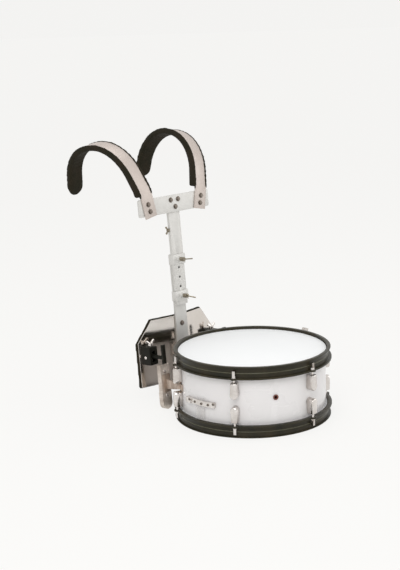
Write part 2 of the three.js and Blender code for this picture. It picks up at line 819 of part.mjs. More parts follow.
function bellyPadSolid() {
  const bevel = {
    bevelEnabled: true, bevelThickness: bellyPadRound, bevelSize: bellyPadRound, bevelOffset: -bellyPadRound,
    bevelSegments: 2,
  };
  const front = plateFront + plateThickness / Math.cos(radians(plateBend)) + fitGap;
  return bentSheet(front, bellyPadThickness, bellyPadMargin, bellyPadCrown, bevel);
}

// Clamp block: its back follows the wing, a cavity holds the stud's head and a slot lets the stud slide
function clampBlockSolid(side) {
  const centre = side * blockPlace;
  const half = blockWidth / 2;
  const deep = plateFrontAt(blockPlace + half, plateFront);
  const body = block([centre - half, blockFront, blockLow], [centre + half, deep, blockHigh]);
  const wide = half + cutOverrun;
  const inner = plateFrontAt(blockPlace - wide, plateFront) - fitGap;
  const outer = plateFrontAt(blockPlace + wide, plateFront) - fitGap;
  const wedge = new THREE.Shape([
    new THREE.Vector2(centre - side * wide, inner), new THREE.Vector2(centre + side * wide, outer),
    new THREE.Vector2(centre + side * wide, outer + blockWidth),
    new THREE.Vector2(centre - side * wide, outer + blockWidth),
  ]);
  const wedgeHeight = blockHigh - blockLow + cutOverrun * 2;
  const back = new THREE.ExtrudeGeometry(wedge, { depth: wedgeHeight, bevelEnabled: false });
  back.translate(0, 0, blockLow - cutOverrun);
  const cavityHalf = studHeadRadius + runningGap;
  const cavityFront = studHeadFront - runningGap;
  const cavityBack = studHeadFront + studHeadLength + runningGap;
  const travel = liftTravel + runningGap;
  const cavity = block(
    [centre - cavityHalf, cavityFront, liftHeight - studHeadRadius - travel],
    [centre + cavityHalf, cavityBack, liftHeight + studHeadRadius + travel],
  );
  const slotHalf = studRadius + runningGap;
  const slot = block(
    [centre - slotHalf, blockFront - cutOverrun, liftHeight - studRadius - travel],
    [centre + slotHalf, cavityFront + cutOverrun, liftHeight + studRadius + travel],
  );
  const boreFloor = blockLow + liftScrewFloor;
  const bore = roundBar(liftScrewRadius + runningGap, boreFloor, blockHigh + cutOverrun, boreFacets);
  const axisDepth = studHeadFront + studHeadLength / 2;
  return cutBy(solidOf(body), [back, cavity, slot, bore.translate(centre, axisDepth, 0)]);
}

// Hanger: a flat post in the leg, and a stud back to its head inside the clamp block
function hangerSolid(side) {
  const centre = side * blockPlace;
  const postFront = legFront + legWall + fitGap;
  const postBack = postFront + postDepth;
  const post = block(
    [centre - postWidth / 2, postFront, liftHeight - postBelow],
    [centre + postWidth / 2, postBack, liftHeight + postAbove],
  );
  const headBack = studHeadFront + studHeadLength;
  const stud = roundBar(studRadius, postBack - joinDepth, studHeadFront + joinDepth, boreFacets);
  const head = roundBar(studHeadRadius, studHeadFront, headBack, boreFacets);
  const along = [stud, head].map((bar) => bar.rotateX(-Math.PI / 2).translate(centre, 0, liftHeight));
  const reach = studHeadRadius + cutOverrun;
  const bore = roundBar(liftScrewRadius + runningGap, liftHeight - reach, liftHeight + reach, boreFacets);
  return cutBy(joined([post, ...along]), [bore.translate(centre, studHeadFront + studHeadLength / 2, 0)]);
}

// Leg: a channel that faces back, with a round lower end just clear of the ground
function legOutline(half, low, top) {
  const outline = new THREE.Shape();
  outline.moveTo(half, top);
  outline.lineTo(-half, top);
  outline.absarc(0, low + half, half, Math.PI, 2 * Math.PI, false);
  return outline;
}

function legSolid(side) {
  const lean = radians(carrierLean);
  const tip = (legClearance + legFront * Math.sin(lean)) / Math.cos(lean);
  const half = legWidth / 2;
  const upright = (shape, from, to) => {
    const settings = { depth: to - from, bevelEnabled: false, curveSegments: boreFacets };
    return new THREE.ExtrudeGeometry(shape, settings).rotateX(Math.PI / 2).translate(0, to, 0);
  };
  const body = upright(legOutline(half, tip, legTop), legFront, legFront + legDepth);
  const pocketBack = legFront + legDepth + cutOverrun;
  const inside = legOutline(half - legWall, tip + legWall, legTop + cutOverrun);
  const pocket = upright(inside, legFront + legWall, pocketBack);
  return cutBy(solidOf(body), [pocket]).translate([side * legPlace, 0, 0]);
}

// Arm: a foot on the shell between two lug casings, a tapered bar, and a plate on the front of the leg
function armSolid(side, leaning) {
  const legAngle = THREE.MathUtils.radToDeg(Math.atan2(carrierBack + legFront, legPlace));
  const angle = 90 - side * (90 - legAngle + armSwing);
  const back = shellRadius + fitGap;
  const face = back + armFootThickness;
  const halfArc = THREE.MathUtils.radToDeg(armFootHalfWidth / back);
  const footLow = drumHeight - lugLow + armFootGap;
  const footHigh = lugLow - armFootGap;
  const foot = arcBar(back, face, angle - halfArc, angle + halfArc, footLow, footHigh);
  const plateBack = legFront - fitGap;
  const across = side * legPlace;
  const plate = block(
    [across - armPlateWidth / 2, plateBack - armPlateThickness, armPlateLow],
    [across + armPlateWidth / 2, plateBack, armPlateHigh],
  ).applyMatrix4(leaning);
  const startReach = face + armThickness / 2 - joinDepth;
  const start = new THREE.Vector3(startReach, 0, drumHeight / 2).applyAxisAngle(upward, radians(angle));
  const end = new THREE.Vector3(across, plateBack - armPlateThickness / 2, armLegLevel);
  end.applyMatrix4(leaning);
  const bar = loft([barRing(start, end, start, armDrumHeight), barRing(start, end, end, armLegHeight)]);
  return joined([foot, plate, bar]);
}

const upward = new THREE.Vector3(0, 0, 1);

// Four corners of an upright bar at a place, square to its run
function barRing(start, end, place, height) {
  const along = new THREE.Vector3().subVectors(end, start).setZ(0).normalize();
  const across = new THREE.Vector3().crossVectors(along, upward).multiplyScalar(armThickness / 2);
  const up = upward.clone().multiplyScalar(height / 2);
  return [[1, 1], [-1, 1], [-1, -1], [1, -1]].map(([a, b]) => (
    place.clone().addScaledVector(across, a).addScaledVector(up, b)
  ));
}

function crossbarGeometry() {
  const shape = roundedPlate(crossHalfWidth, crossHeight / 2, crossRound);
  const settings = { depth: crossThickness, bevelEnabled: false, curveSegments: cornerFacets };
  const plate = new THREE.ExtrudeGeometry(shape, settings);
  return plate.rotateX(Math.PI / 2).translate(0, crossBack, crossLevel);
}

// Runs and bends of one arch, in order
function archPieces(lowerTurn, rearTurn, tailLength) {
  return [
    { run: lowerRunLength }, { radius: lowerBendRadius, turn: lowerTurn },
    { run: upperRunLength }, { radius: frontBendRadius, turn: frontTurn },
    { radius: topBendRadius, turn: topTurn }, { radius: rearBendRadius, turn: rearTurn },
    { run: tailLength },
  ];
}

const leftArch = archPieces(leftLowerTurn, leftRearTurn, leftTailLength);
const rightArch = archPieces(rightLowerTurn, rightRearTurn, rightTailLength);
const archOn = (side) => (side > 0 ? leftArch : rightArch);
const pieceLength = (piece) => piece.run ?? piece.radius * radians(piece.turn);
const archLength = (side) => archOn(side).reduce((sum, piece) => sum + pieceLength(piece), 0);

// Place along the arch: how far back and up it is, and its heading from straight up
function archAt(side, distance) {
  let left = distance;
  let heading = 0;
  let back = 0;
  let up = -boltedBelow;
  for (const piece of archOn(side)) {
    const used = Math.min(left, pieceLength(piece));
    if (piece.run) {
      back += used * Math.sin(heading);
      up += used * Math.cos(heading);
    } else {
      const next = heading + used / piece.radius;
      back += piece.radius * (Math.cos(heading) - Math.cos(next));
      up += piece.radius * (Math.sin(next) - Math.sin(heading));
      heading = next;
    }
    left -= used;
    if (left <= 0) break;
  }
  return { back, up, heading };
}

// Ring of points round the arch, each given across the bar and out from its inner face
function archRing(side, distance, section) {
  const { back, up, heading } = archAt(side, distance);
  const yaw = Math.tan(radians(shoulderYaw));
  const share = back / shoulderReach;
  const drift = side * (back * yaw + shoulderBowDepth * share ** 2);
  const slope = side * (yaw + (shoulderBowDepth * share * 2) / shoulderReach);
  const centre = new THREE.Vector3(drift, back, up);
  const along = new THREE.Vector3(Math.sin(heading) * slope, Math.sin(heading), Math.cos(heading));
  along.normalize();
  const across = new THREE.Vector3(1, 0, 0);
  across.addScaledVector(along, -across.dot(along)).normalize();
  const out = new THREE.Vector3().crossVectors(across, along);
  return section.map(([a, o]) => centre.clone().addScaledVector(across, a).addScaledVector(out, o));
}

function shoulderBarGeometry(side) {
  const half = shoulderWidth / 2;
  const section = [[-half, 0], [half, 0], [half, shoulderThickness], [-half, shoulderThickness]];
  const length = archLength(side) - padOverhang;
  const steps = Math.round(length / archStep);
  const rings = Array.from({ length: steps + 1 }, (_, i) => archRing(side, (length * i) / steps, section));
  return loft(rings);
}

// Section of the shoulder pad: a soft-cornered, slightly crowned bar under the shoulder bar
function padSection(thickness, widthFactor, depthFactor) {
  return Array.from({ length: padSectionPoints }, (_, i) => {
    const angle = ((i + 0.5) * 2 * Math.PI) / padSectionPoints;
    const soft = (value) => Math.sign(value) * Math.abs(value) ** padSquarenessShare;
    const across = soft(Math.cos(angle)) * (padWidth / 2) * widthFactor;
    const out = -fitGap - (thickness / 2) * (1 - soft(Math.sin(angle)) * depthFactor);
    return [across, out];
  });
}

// The pad thins from its front end to the top of the shoulder
function padThicknessAt(distance) {
  const share = Math.min(1, (distance - padStart) / padTaperLength);
  return padFrontThickness + (padThickness - padFrontThickness) * share;
}

function shoulderPadGeometry(side) {
  const start = padStart;
  const tipStart = archLength(side) - padTipRadius;
  const ringAt = (distance, widthFactor, depthFactor) => (
    archRing(side, distance, padSection(padThicknessAt(distance), widthFactor, depthFactor))
  );
  const rings = [
    ringAt(start, 1 - padEndRound / padWidth, 1 - padEndRound / padThickness),
    ringAt(start + padEndRound, 1, 1),
  ];
  const run = tipStart - start - padEndRound;
  const steps = Math.round(run / archStep);
  for (let i = 1; i <= steps; i += 1) {
    rings.push(ringAt(start + padEndRound + (run * i) / steps, 1, 1));
  }
  for (let i = 1; i <= padTipSteps; i += 1) {
    const angle = (i / padTipSteps) * radians(padTipTurn);
    const depth = Math.max(Math.cos(angle), 1 - padTipRadius / padWidth);
    rings.push(ringAt(tipStart + padTipRadius * Math.sin(angle), Math.cos(angle), depth));
  }
  return loft(rings);
}

// The drum stands with its axis on Z; the lower half repeats the upper one turned over
const assembly = new THREE.Group();
const drum = new THREE.Group();
const lowerHalf = new THREE.Group();
lowerHalf.rotation.x = Math.PI;
lowerHalf.position.z = drumHeight;
drum.add(lowerHalf);
assembly.add(drum);

drum.add(part('shell', shellSolid(), whiteLacquer));
drum.add(part('batter_head', headGeometry(), headFilm));
drum.add(part('batter_hoop', hoopSolid(), blackPaint));
lowerHalf.add(part('snare_head', headGeometry(), headFilm));
lowerHalf.add(part('snare_hoop', gatedHoopSolid(), blackPaint));

const lugGeometry = geometryOf(lugSolid());
const rodGeometry = geometryOf(rodSolid());
for (let i = 0; i < rodCount; i += 1) {
  const upperSet = [
    part(`lug_upper_${i + 1}`, lugGeometry, chrome),
    part(`tension_rod_upper_${i + 1}`, rodGeometry, chrome),
  ];
  const lowerSet = [
    part(`lug_lower_${i + 1}`, lugGeometry, chrome),
    part(`tension_rod_lower_${i + 1}`, rodGeometry, chrome),
  ];
  upperSet.forEach((mesh) => { mesh.rotation.z = radians(rodAngle(i)); });
  lowerSet.forEach((mesh) => { mesh.rotation.z = -radians(rodAngle(i)); });
  drum.add(...upperSet);
  lowerHalf.add(...lowerSet);
}

const grommet = part('vent_grommet', ventGrommetSolid(), enamel);
grommet.rotation.z = radians(ventAngle);
drum.add(grommet);

const buttStrapTop = buttHeight + buttDepth / 2 + buttStrapLap;
const buttPlate = part('butt_plate', buttSolid(), chrome);
const buttStrap = part('butt_strap', strapGeometry(buttStrapTop, strapWidth), clearStrap);
buttPlate.rotation.z = Math.PI;
buttStrap.rotation.z = Math.PI;
drum.add(buttPlate, buttStrap);
drum.add(part('snare_wires', snareWires(), snareSteel));
const strainerStrap = strapGeometry(carriageHigh - carriageSideGap, strainerStrapWidth);
drum.add(part('strainer_strap', strainerStrap, clearStrap));
drum.add(part('strainer_body', strainerSolid(), chrome));
drum.add(part('strainer_lever', leverSolid(), chrome));
drum.add(part('strainer_carriage', carriageSolid(), chrome));
drum.add(part('strainer_knob', knobSolid(), chrome));

// Everything in this group leans back with the height bar
const carrier = new THREE.Group();
carrier.position.y = carrierBack;
carrier.rotation.x = -radians(carrierLean);
carrier.updateMatrix();
assembly.add(carrier);

carrier.add(part('height_bar', heightBarSolid(), satinAluminium));
carrier.add(part('spine', spineSolid(), satinAluminium));
carrier.add(part('belly_plate', bellyPlateSolid(), polishedAluminium));
carrier.add(part('belly_pad', bellyPadSolid(), blackFoam));
carrier.add(part('crossbar', crossbarGeometry(), satinAluminium));

const barScrewSolid = geometryOf(wingScrewSolid(barScrew));
const screwSeat = collarFront - bossLength - fitGap;
const barScrews = [['lower', lowerCollar, lowerScrewTurn], ['upper', upperCollar, upperScrewTurn]];
barScrews.forEach(([name, level, turn]) => {
  const holder = new THREE.Group();
  holder.position.set(0, screwSeat, level);
  holder.rotation.x = Math.PI / 2;
  const screw = part(`bar_wing_screw_${name}`, barScrewSolid, chrome);
  screw.rotation.z = radians(turn);
  holder.add(screw);
  carrier.add(holder);
});

const sideScrewHolder = new THREE.Group();
sideScrewHolder.position.set(-barWidth / 2 - fitGap, barDepth / 2, sideScrewLevel);
sideScrewHolder.rotation.y = -Math.PI / 2;
sideScrewHolder.add(part('side_wing_screw', wingScrewSolid(sideScrew), chrome));
carrier.add(sideScrewHolder);

const liftScrewGeometry = geometryOf(wingScrewSolid(liftScrew));
[['left', 1], ['right', -1]].forEach(([name, side]) => {
  carrier.add(part(`clamp_block_${name}`, clampBlockSolid(side), blackPlastic));
  carrier.add(part(`hanger_${name}`, hangerSolid(side), blackPlastic));
  carrier.add(part(`leg_${name}`, legSolid(side), chrome));
  drum.add(part(`drum_arm_${name}`, armSolid(side, carrier.matrix), chrome));
  const screw = part(`clamp_wing_screw_${name}`, liftScrewGeometry, chrome);
  screw.position.set(side * blockPlace, studHeadFront + studHeadLength / 2, blockHigh + fitGap);
  carrier.add(screw);
  const shoulder = new THREE.Group();
  shoulder.position.set(side * shoulderPlace, crossFront - fitGap, crossLevel);
  shoulder.rotation.y = side * radians(shoulderSplay);
  shoulder.add(part(`shoulder_bar_${name}`, shoulderBarGeometry(side), satinAluminium));
  shoulder.add(part(`shoulder_pad_${name}`, shoulderPadGeometry(side), blackFoam));
  carrier.add(shoulder);
});

// The origin is under the middle of the whole, on the ground
assembly.updateMatrixWorld(true);
const extent = new THREE.Box3().setFromObject(assembly, true);
assembly.position.set(-(extent.min.x + extent.max.x) / 2, -(extent.min.y + extent.max.y) / 2, -extent.min.z);

export default assembly;
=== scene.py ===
import json
import math
import bpy
from mathutils import Matrix, Vector
from mathutils.bvhtree import BVHTree


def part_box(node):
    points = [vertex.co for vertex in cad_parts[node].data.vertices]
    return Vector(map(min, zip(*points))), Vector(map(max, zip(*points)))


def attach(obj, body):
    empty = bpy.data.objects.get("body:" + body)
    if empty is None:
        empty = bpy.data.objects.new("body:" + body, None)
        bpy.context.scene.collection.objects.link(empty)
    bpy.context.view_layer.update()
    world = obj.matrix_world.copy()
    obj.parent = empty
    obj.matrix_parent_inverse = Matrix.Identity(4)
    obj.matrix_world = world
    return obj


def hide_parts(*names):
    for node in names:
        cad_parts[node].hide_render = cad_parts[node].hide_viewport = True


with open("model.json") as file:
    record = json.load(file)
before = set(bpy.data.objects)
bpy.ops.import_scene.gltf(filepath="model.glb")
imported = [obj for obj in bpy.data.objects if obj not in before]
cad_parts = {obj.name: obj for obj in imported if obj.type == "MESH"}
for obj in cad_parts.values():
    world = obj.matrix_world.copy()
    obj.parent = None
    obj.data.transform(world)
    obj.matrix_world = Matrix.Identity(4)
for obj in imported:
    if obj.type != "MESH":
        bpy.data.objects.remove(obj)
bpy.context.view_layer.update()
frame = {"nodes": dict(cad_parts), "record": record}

bodyNodes = frame["record"]["behaviour"]["bodies"]
nodeBody = {name: body for body, names in bodyNodes.items() for name in names}
nodeSlot = {entry["node"]: entry["material_slot"] for entry in frame["record"]["subparts"]}
shellLow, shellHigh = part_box("shell")
drumAxis = Vector(((shellLow.x + shellHigh.x) / 2, (shellLow.y + shellHigh.y) / 2, 0))
print("frame loaded,", len(frame["nodes"]), "nodes")


# camera at the photograph's viewing angle
camera = {
    "azimuth": -44.7,      # degrees round the drum, from straight in front
    "elevation": 12.61,
    "roll": -1.8,
    "place": (-2.1091, -1.9604, 0.9664),   # from the drum's axis, on the floor
    "lens": 77.97,
    "sensor": 36,
    "near": 0.05,
    "far": 50,
}


def makeCamera():
    data = bpy.data.cameras.new("photoCamera")
    data.lens = camera["lens"]
    data.sensor_width = camera["sensor"]
    data.clip_start = camera["near"]
    data.clip_end = camera["far"]
    obj = bpy.data.objects.new("photoCamera", data)
    bpy.context.scene.collection.objects.link(obj)
    azimuth, elevation, roll = (math.radians(camera[key]) for key in ("azimuth", "elevation", "roll"))
    level = math.cos(elevation)
    back = Vector((math.sin(azimuth) * level, -math.cos(azimuth) * level, math.sin(elevation)))
    right = Vector((math.cos(azimuth), math.sin(azimuth), 0))
    up = back.cross(right)
    turnedRight = right * math.cos(roll) + up * math.sin(roll)
    turnedUp = up * math.cos(roll) - right * math.sin(roll)
    turn = Matrix((turnedRight, turnedUp, back)).transposed().to_4x4()
    obj.matrix_world = Matrix.Translation(Vector(camera["place"]) + drumAxis) @ turn
    bpy.context.scene.camera = obj


makeCamera()
print("camera placed")


# small helpers
shaping = {
    "weld": 0.00002,       # points closer than this become one, in metres
    "flat": 0.6,           # degrees below which two faces count as one plane
    "bevelSteps": 2,
}
meshParts = {"FACE": "polygons", "EDGE": "edges", "VERT": "vertices"}


def clearSelection():
    if bpy.context.object and bpy.context.object.mode != "OBJECT":
        bpy.ops.object.mode_set(mode="OBJECT")
    bpy.ops.object.select_all(action="DESELECT")


def pick(obj):
    clearSelection()
    obj.select_set(True)
    bpy.context.view_layer.objects.active = obj


def objectMode():
    bpy.ops.object.mode_set(mode="OBJECT")


def editAll():
    # edit mode, with everything selected
    bpy.ops.object.mode_set(mode="EDIT")
    bpy.ops.mesh.select_all(action="SELECT")


def pickParts(obj, kind, wanted):
    # edit mode, with only the wanted faces, edges or vertices selected
    pick(obj)
    bpy.ops.object.mode_set(mode="EDIT")
    bpy.ops.mesh.select_mode(type=kind)
    bpy.ops.mesh.select_all(action="DESELECT")
    objectMode()
    for part in getattr(obj.data, meshParts[kind]):
        part.select = bool(wanted(part))
    bpy.ops.object.mode_set(mode="EDIT")


def tone(red, green, blue):
    # a screen colour, 0 to 255, as Blender's linear colour
    def linear(value):
        value /= 255
        return value / 12.92 if value <= 0.04045 else ((value + 0.055) / 1.055) ** 2.4
    return (linear(red), linear(green), linear(blue), 1)


def applyModifier(obj, kind, **values):
    modifier = obj.modifiers.new(kind.lower(), kind)
    for key, value in values.items():
        setattr(modifier, key, value)
    pick(obj)
    bpy.ops.object.modifier_apply(modifier=modifier.name)


def smoothByAngle(obj, degrees):
    pick(obj)
    bpy.ops.object.shade_smooth_by_angle(angle=math.radians(degrees))


def roundEdges(obj, width, degrees, smoothDegrees):
    applyModifier(obj, "BEVEL", width=width, segments=shaping["bevelSteps"], limit_method="ANGLE",
                  angle_limit=math.radians(degrees), use_clamp_overlap=True)
    smoothByAngle(obj, smoothDegrees)


def repeat(obj, count, step, **values):
    applyModifier(obj, "ARRAY", count=count, use_relative_offset=False, use_constant_offset=True,
                  constant_offset_displace=step, **values)


def settle(obj):
    pick(obj)
    bpy.ops.object.transform_apply(location=True, rotation=True, scale=True)


def dress(obj, material, body):
    obj.data.materials.clear()
    obj.data.materials.append(material)
    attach(obj, body)


def roundStock(name, radius, low, high, facets):
    # a disc or bar on the Z axis, to be shaped further
    clearSelection()
    bpy.ops.mesh.primitive_cylinder_add(
        vertices=facets, radius=radius, depth=high - low, location=(0, 0, (low + high) / 2))
    obj = bpy.context.object
    obj.name = name
    settle(obj)
    return obj


def joinPieces(first, *others):
    clearSelection()
    for obj in (first, *others):
        obj.select_set(True)
    bpy.context.view_layer.objects.active = first
    bpy.ops.object.join()


def placeCopy(pattern, name, place, finish, body):
    # a copy with its own mesh, put where it belongs
    piece = bpy.data.objects.new(name, pattern.data.copy())
    bpy.context.scene.collection.objects.link(piece)
    piece.data.transform(place)
    dress(piece, finishes[finish], body)


def mergedCopy(node, name):
    # a copy of a CAD piece, with its split points merged
    piece = bpy.data.objects.new(name, frame["nodes"][node].data.copy())
    bpy.context.scene.collection.objects.link(piece)
    pick(piece)
    if piece.data.has_custom_normals:
        bpy.ops.mesh.customdata_custom_splitnormals_clear()
    editAll()
    bpy.ops.mesh.remove_doubles(threshold=shaping["weld"])
    objectMode()
    return piece


def treeOf(obj):
    points = [vertex.co for vertex in obj.data.vertices]
    return BVHTree.FromPolygons(points, [face.vertices for face in obj.data.polygons])


def surfaceAt(node, start, heading):
    # where a straight line first meets a node, in metres
    tree = treeOf(frame["nodes"][node])
    point = tree.ray_cast(Vector(start), Vector(heading).normalized())[0]
    if point is None:
        raise ValueError("nothing of " + node + " lies that way")
    return point


def newNode(nodes, kind, values=None, **settings):
    # a shader node with its settings, and the values on its sockets
    node = nodes.new("ShaderNode" + kind)
    for key, value in settings.items():
        setattr(node, key, value)
    for socket, value in (values or {}).items():
        node.inputs[socket].default_value = value
    return node


# masks that several finishes share, each a shader group with one output
masks = {
    "mottleNoise": {"Detail": 5, "Roughness": 0.6},
    "mottleMiddle": 0.5,
    "scratchNoise": {"Detail": 3, "Distortion": 0.4},
    "scratchRange": {"From Min": 0.58, "From Max": 0.74},
    "edgeRange": {"From Min": 0.53, "From Max": 0.62},
}


def newGroup(name, **inputs):
    group = bpy.data.node_groups.new(name, "ShaderNodeTree")
    for label, kind in inputs.items():
        group.interface.new_socket(label, in_out="INPUT", socket_type="NodeSocket" + kind)
    group.interface.new_socket("Mask", in_out="OUTPUT", socket_type="NodeSocketFloat")
    return group, group.nodes.new("NodeGroupInput"), group.nodes.new("NodeGroupOutput")


def makeMottleGroup():
    # soft noise in several sizes, as a mask from 0 to 1
    group, given, result = newGroup("mottle", Vector="Vector", Scale="Float", Contrast="Float")
    nodes, link = group.nodes, group.links.new
    noise = newNode(nodes, "TexNoise", masks["mottleNoise"])
    link(given.outputs["Vector"], noise.inputs["Vector"])
    link(given.outputs["Scale"], noise.inputs["Scale"])
    centred = newNode(nodes, "Math", {1: masks["mottleMiddle"]}, operation="SUBTRACT")
    link(noise.outputs["Fac"], centred.inputs[0])
    spread = newNode(nodes, "Math", {2: masks["mottleMiddle"]}, operation="MULTIPLY_ADD", use_clamp=True)
    link(centred.outputs[0], spread.inputs[0])
    link(given.outputs["Contrast"], spread.inputs[1])
    link(spread.outputs[0], result.inputs["Mask"])
    return group


def makeScratchGroup():
    # thin streaks along one direction, given by a stretched vector
    group, given, result = newGroup("fineScratches", Vector="Vector", Scale="Float", Amount="Float")
    nodes, link = group.nodes, group.links.new
    noise = newNode(nodes, "TexNoise", masks["scratchNoise"])
    link(given.outputs["Vector"], noise.inputs["Vector"])
    link(given.outputs["Scale"], noise.inputs["Scale"])
    ramp = newNode(nodes, "MapRange", masks["scratchRange"])
    link(noise.outputs["Fac"], ramp.inputs["Value"])
    amount = newNode(nodes, "Math", operation="MULTIPLY", use_clamp=True)
    link(ramp.outputs["Result"], amount.inputs[0])
    link(given.outputs["Amount"], amount.inputs[1])
    link(amount.outputs[0], result.inputs["Mask"])
    return group


def makeEdgeGroup():
    # rubbed edges, and painted shade and painted highlight along edges on some finishes: how sharply the
    # surface turns, broken up by a mask
    group, given, result = newGroup("edgeWearAndPaintedLight", Break="Float", Amount="Float")
    nodes, link = group.nodes, group.links.new
    geometry = newNode(nodes, "NewGeometry")
    turn = newNode(nodes, "MapRange", masks["edgeRange"])
    link(geometry.outputs["Pointiness"], turn.inputs["Value"])
    broken = newNode(nodes, "Math", operation="MULTIPLY")
    link(turn.outputs["Result"], broken.inputs[0])
    link(given.outputs["Break"], broken.inputs[1])
    amount = newNode(nodes, "Math", operation="MULTIPLY", use_clamp=True)
    link(broken.outputs[0], amount.inputs[0])
    link(given.outputs["Amount"], amount.inputs[1])
    link(amount.outputs[0], result.inputs["Mask"])
    return group


mottleGroup = makeMottleGroup()
scratchGroup = makeScratchGroup()
edgeGroup = makeEdgeGroup()


# what a look says where it doesn't say otherwise
usualLook = {
    "plain": {}, "edgeAmount": 0, "grainDetail": 3, "scratchRough": 0.15,
    "scratchStretch": (1, 1, 1), "grainStretch": (1, 1, 1),
}


def makeFinish(name, look):
    # base colours mixed by mottle, roughness between two values, scratches and grain as bump
    look = {**usualLook, "edgeColour": look["colourTwo"], **look}
    material = bpy.data.materials.new(name)
    material.use_nodes = True
    nodes, link = material.node_tree.nodes, material.node_tree.links.new
    shader = nodes["Principled BSDF"]
    for socket, value in look["plain"].items():
        shader.inputs[socket].default_value = value
    place = newNode(nodes, "TexCoord")

    def stretched(scale):
        mapping = newNode(nodes, "Mapping", {"Scale": scale})
        link(place.outputs["Object"], mapping.inputs["Vector"])
        return mapping.outputs["Vector"]

    sizes = {"Scale": look["mottleScale"], "Contrast": look["mottleContrast"]}
    mottle = newNode(nodes, "Group", sizes, node_tree=mottleGroup)
    link(place.outputs["Object"], mottle.inputs["Vector"])
    # edges coloured by how sharply they turn: wear on some finishes, painted shade and painted highlight
    # on others
    edge = newNode(nodes, "Group", {"Amount": look["edgeAmount"]}, node_tree=edgeGroup)
    link(mottle.outputs["Mask"], edge.inputs["Break"])
    colour = newNode(nodes, "Mix", {"A": look["colour"], "B": look["colourTwo"]}, data_type="RGBA")
    link(mottle.outputs["Mask"], colour.inputs["Factor"])
    edgeWearAndLight = newNode(nodes, "Mix", {"B": look["edgeColour"]}, data_type="RGBA")
    link(edge.outputs["Mask"], edgeWearAndLight.inputs["Factor"])
    link(colour.outputs["Result"], edgeWearAndLight.inputs["A"])
    link(edgeWearAndLight.outputs["Result"], shader.inputs["Base Color"])

    sizes = {"Scale": look["scratchScale"], "Amount": look["scratchAmount"]}
    scratch = newNode(nodes, "Group", sizes, node_tree=scratchGroup)
    link(stretched(look["scratchStretch"]), scratch.inputs["Vector"])
    rough = newNode(nodes, "MapRange", {"To Min": look["roughLow"], "To Max": look["roughHigh"]})
    link(mottle.outputs["Mask"], rough.inputs["Value"])
    scuffed = newNode(nodes, "Math", {1: look["scratchRough"]}, operation="MULTIPLY_ADD", use_clamp=True)
    link(scratch.outputs["Mask"], scuffed.inputs[0])
    link(rough.outputs["Result"], scuffed.inputs[2])
    link(scuffed.outputs[0], shader.inputs["Roughness"])

    grain = newNode(nodes, "TexNoise", {"Scale": look["grainScale"], "Detail": look["grainDetail"]})
    link(stretched(look["grainStretch"]), grain.inputs["Vector"])
    height = newNode(nodes, "Math", operation="SUBTRACT")
    link(grain.outputs["Fac"], height.inputs[0])
    link(scratch.outputs["Mask"], height.inputs[1])
    bump = newNode(nodes, "Bump", {"Strength": look["bump"], "Distance": look["bumpDepth"]})
    link(height.outputs[0], bump.inputs["Height"])
    link(bump.outputs["Normal"], shader.inputs["Normal"])
    return material


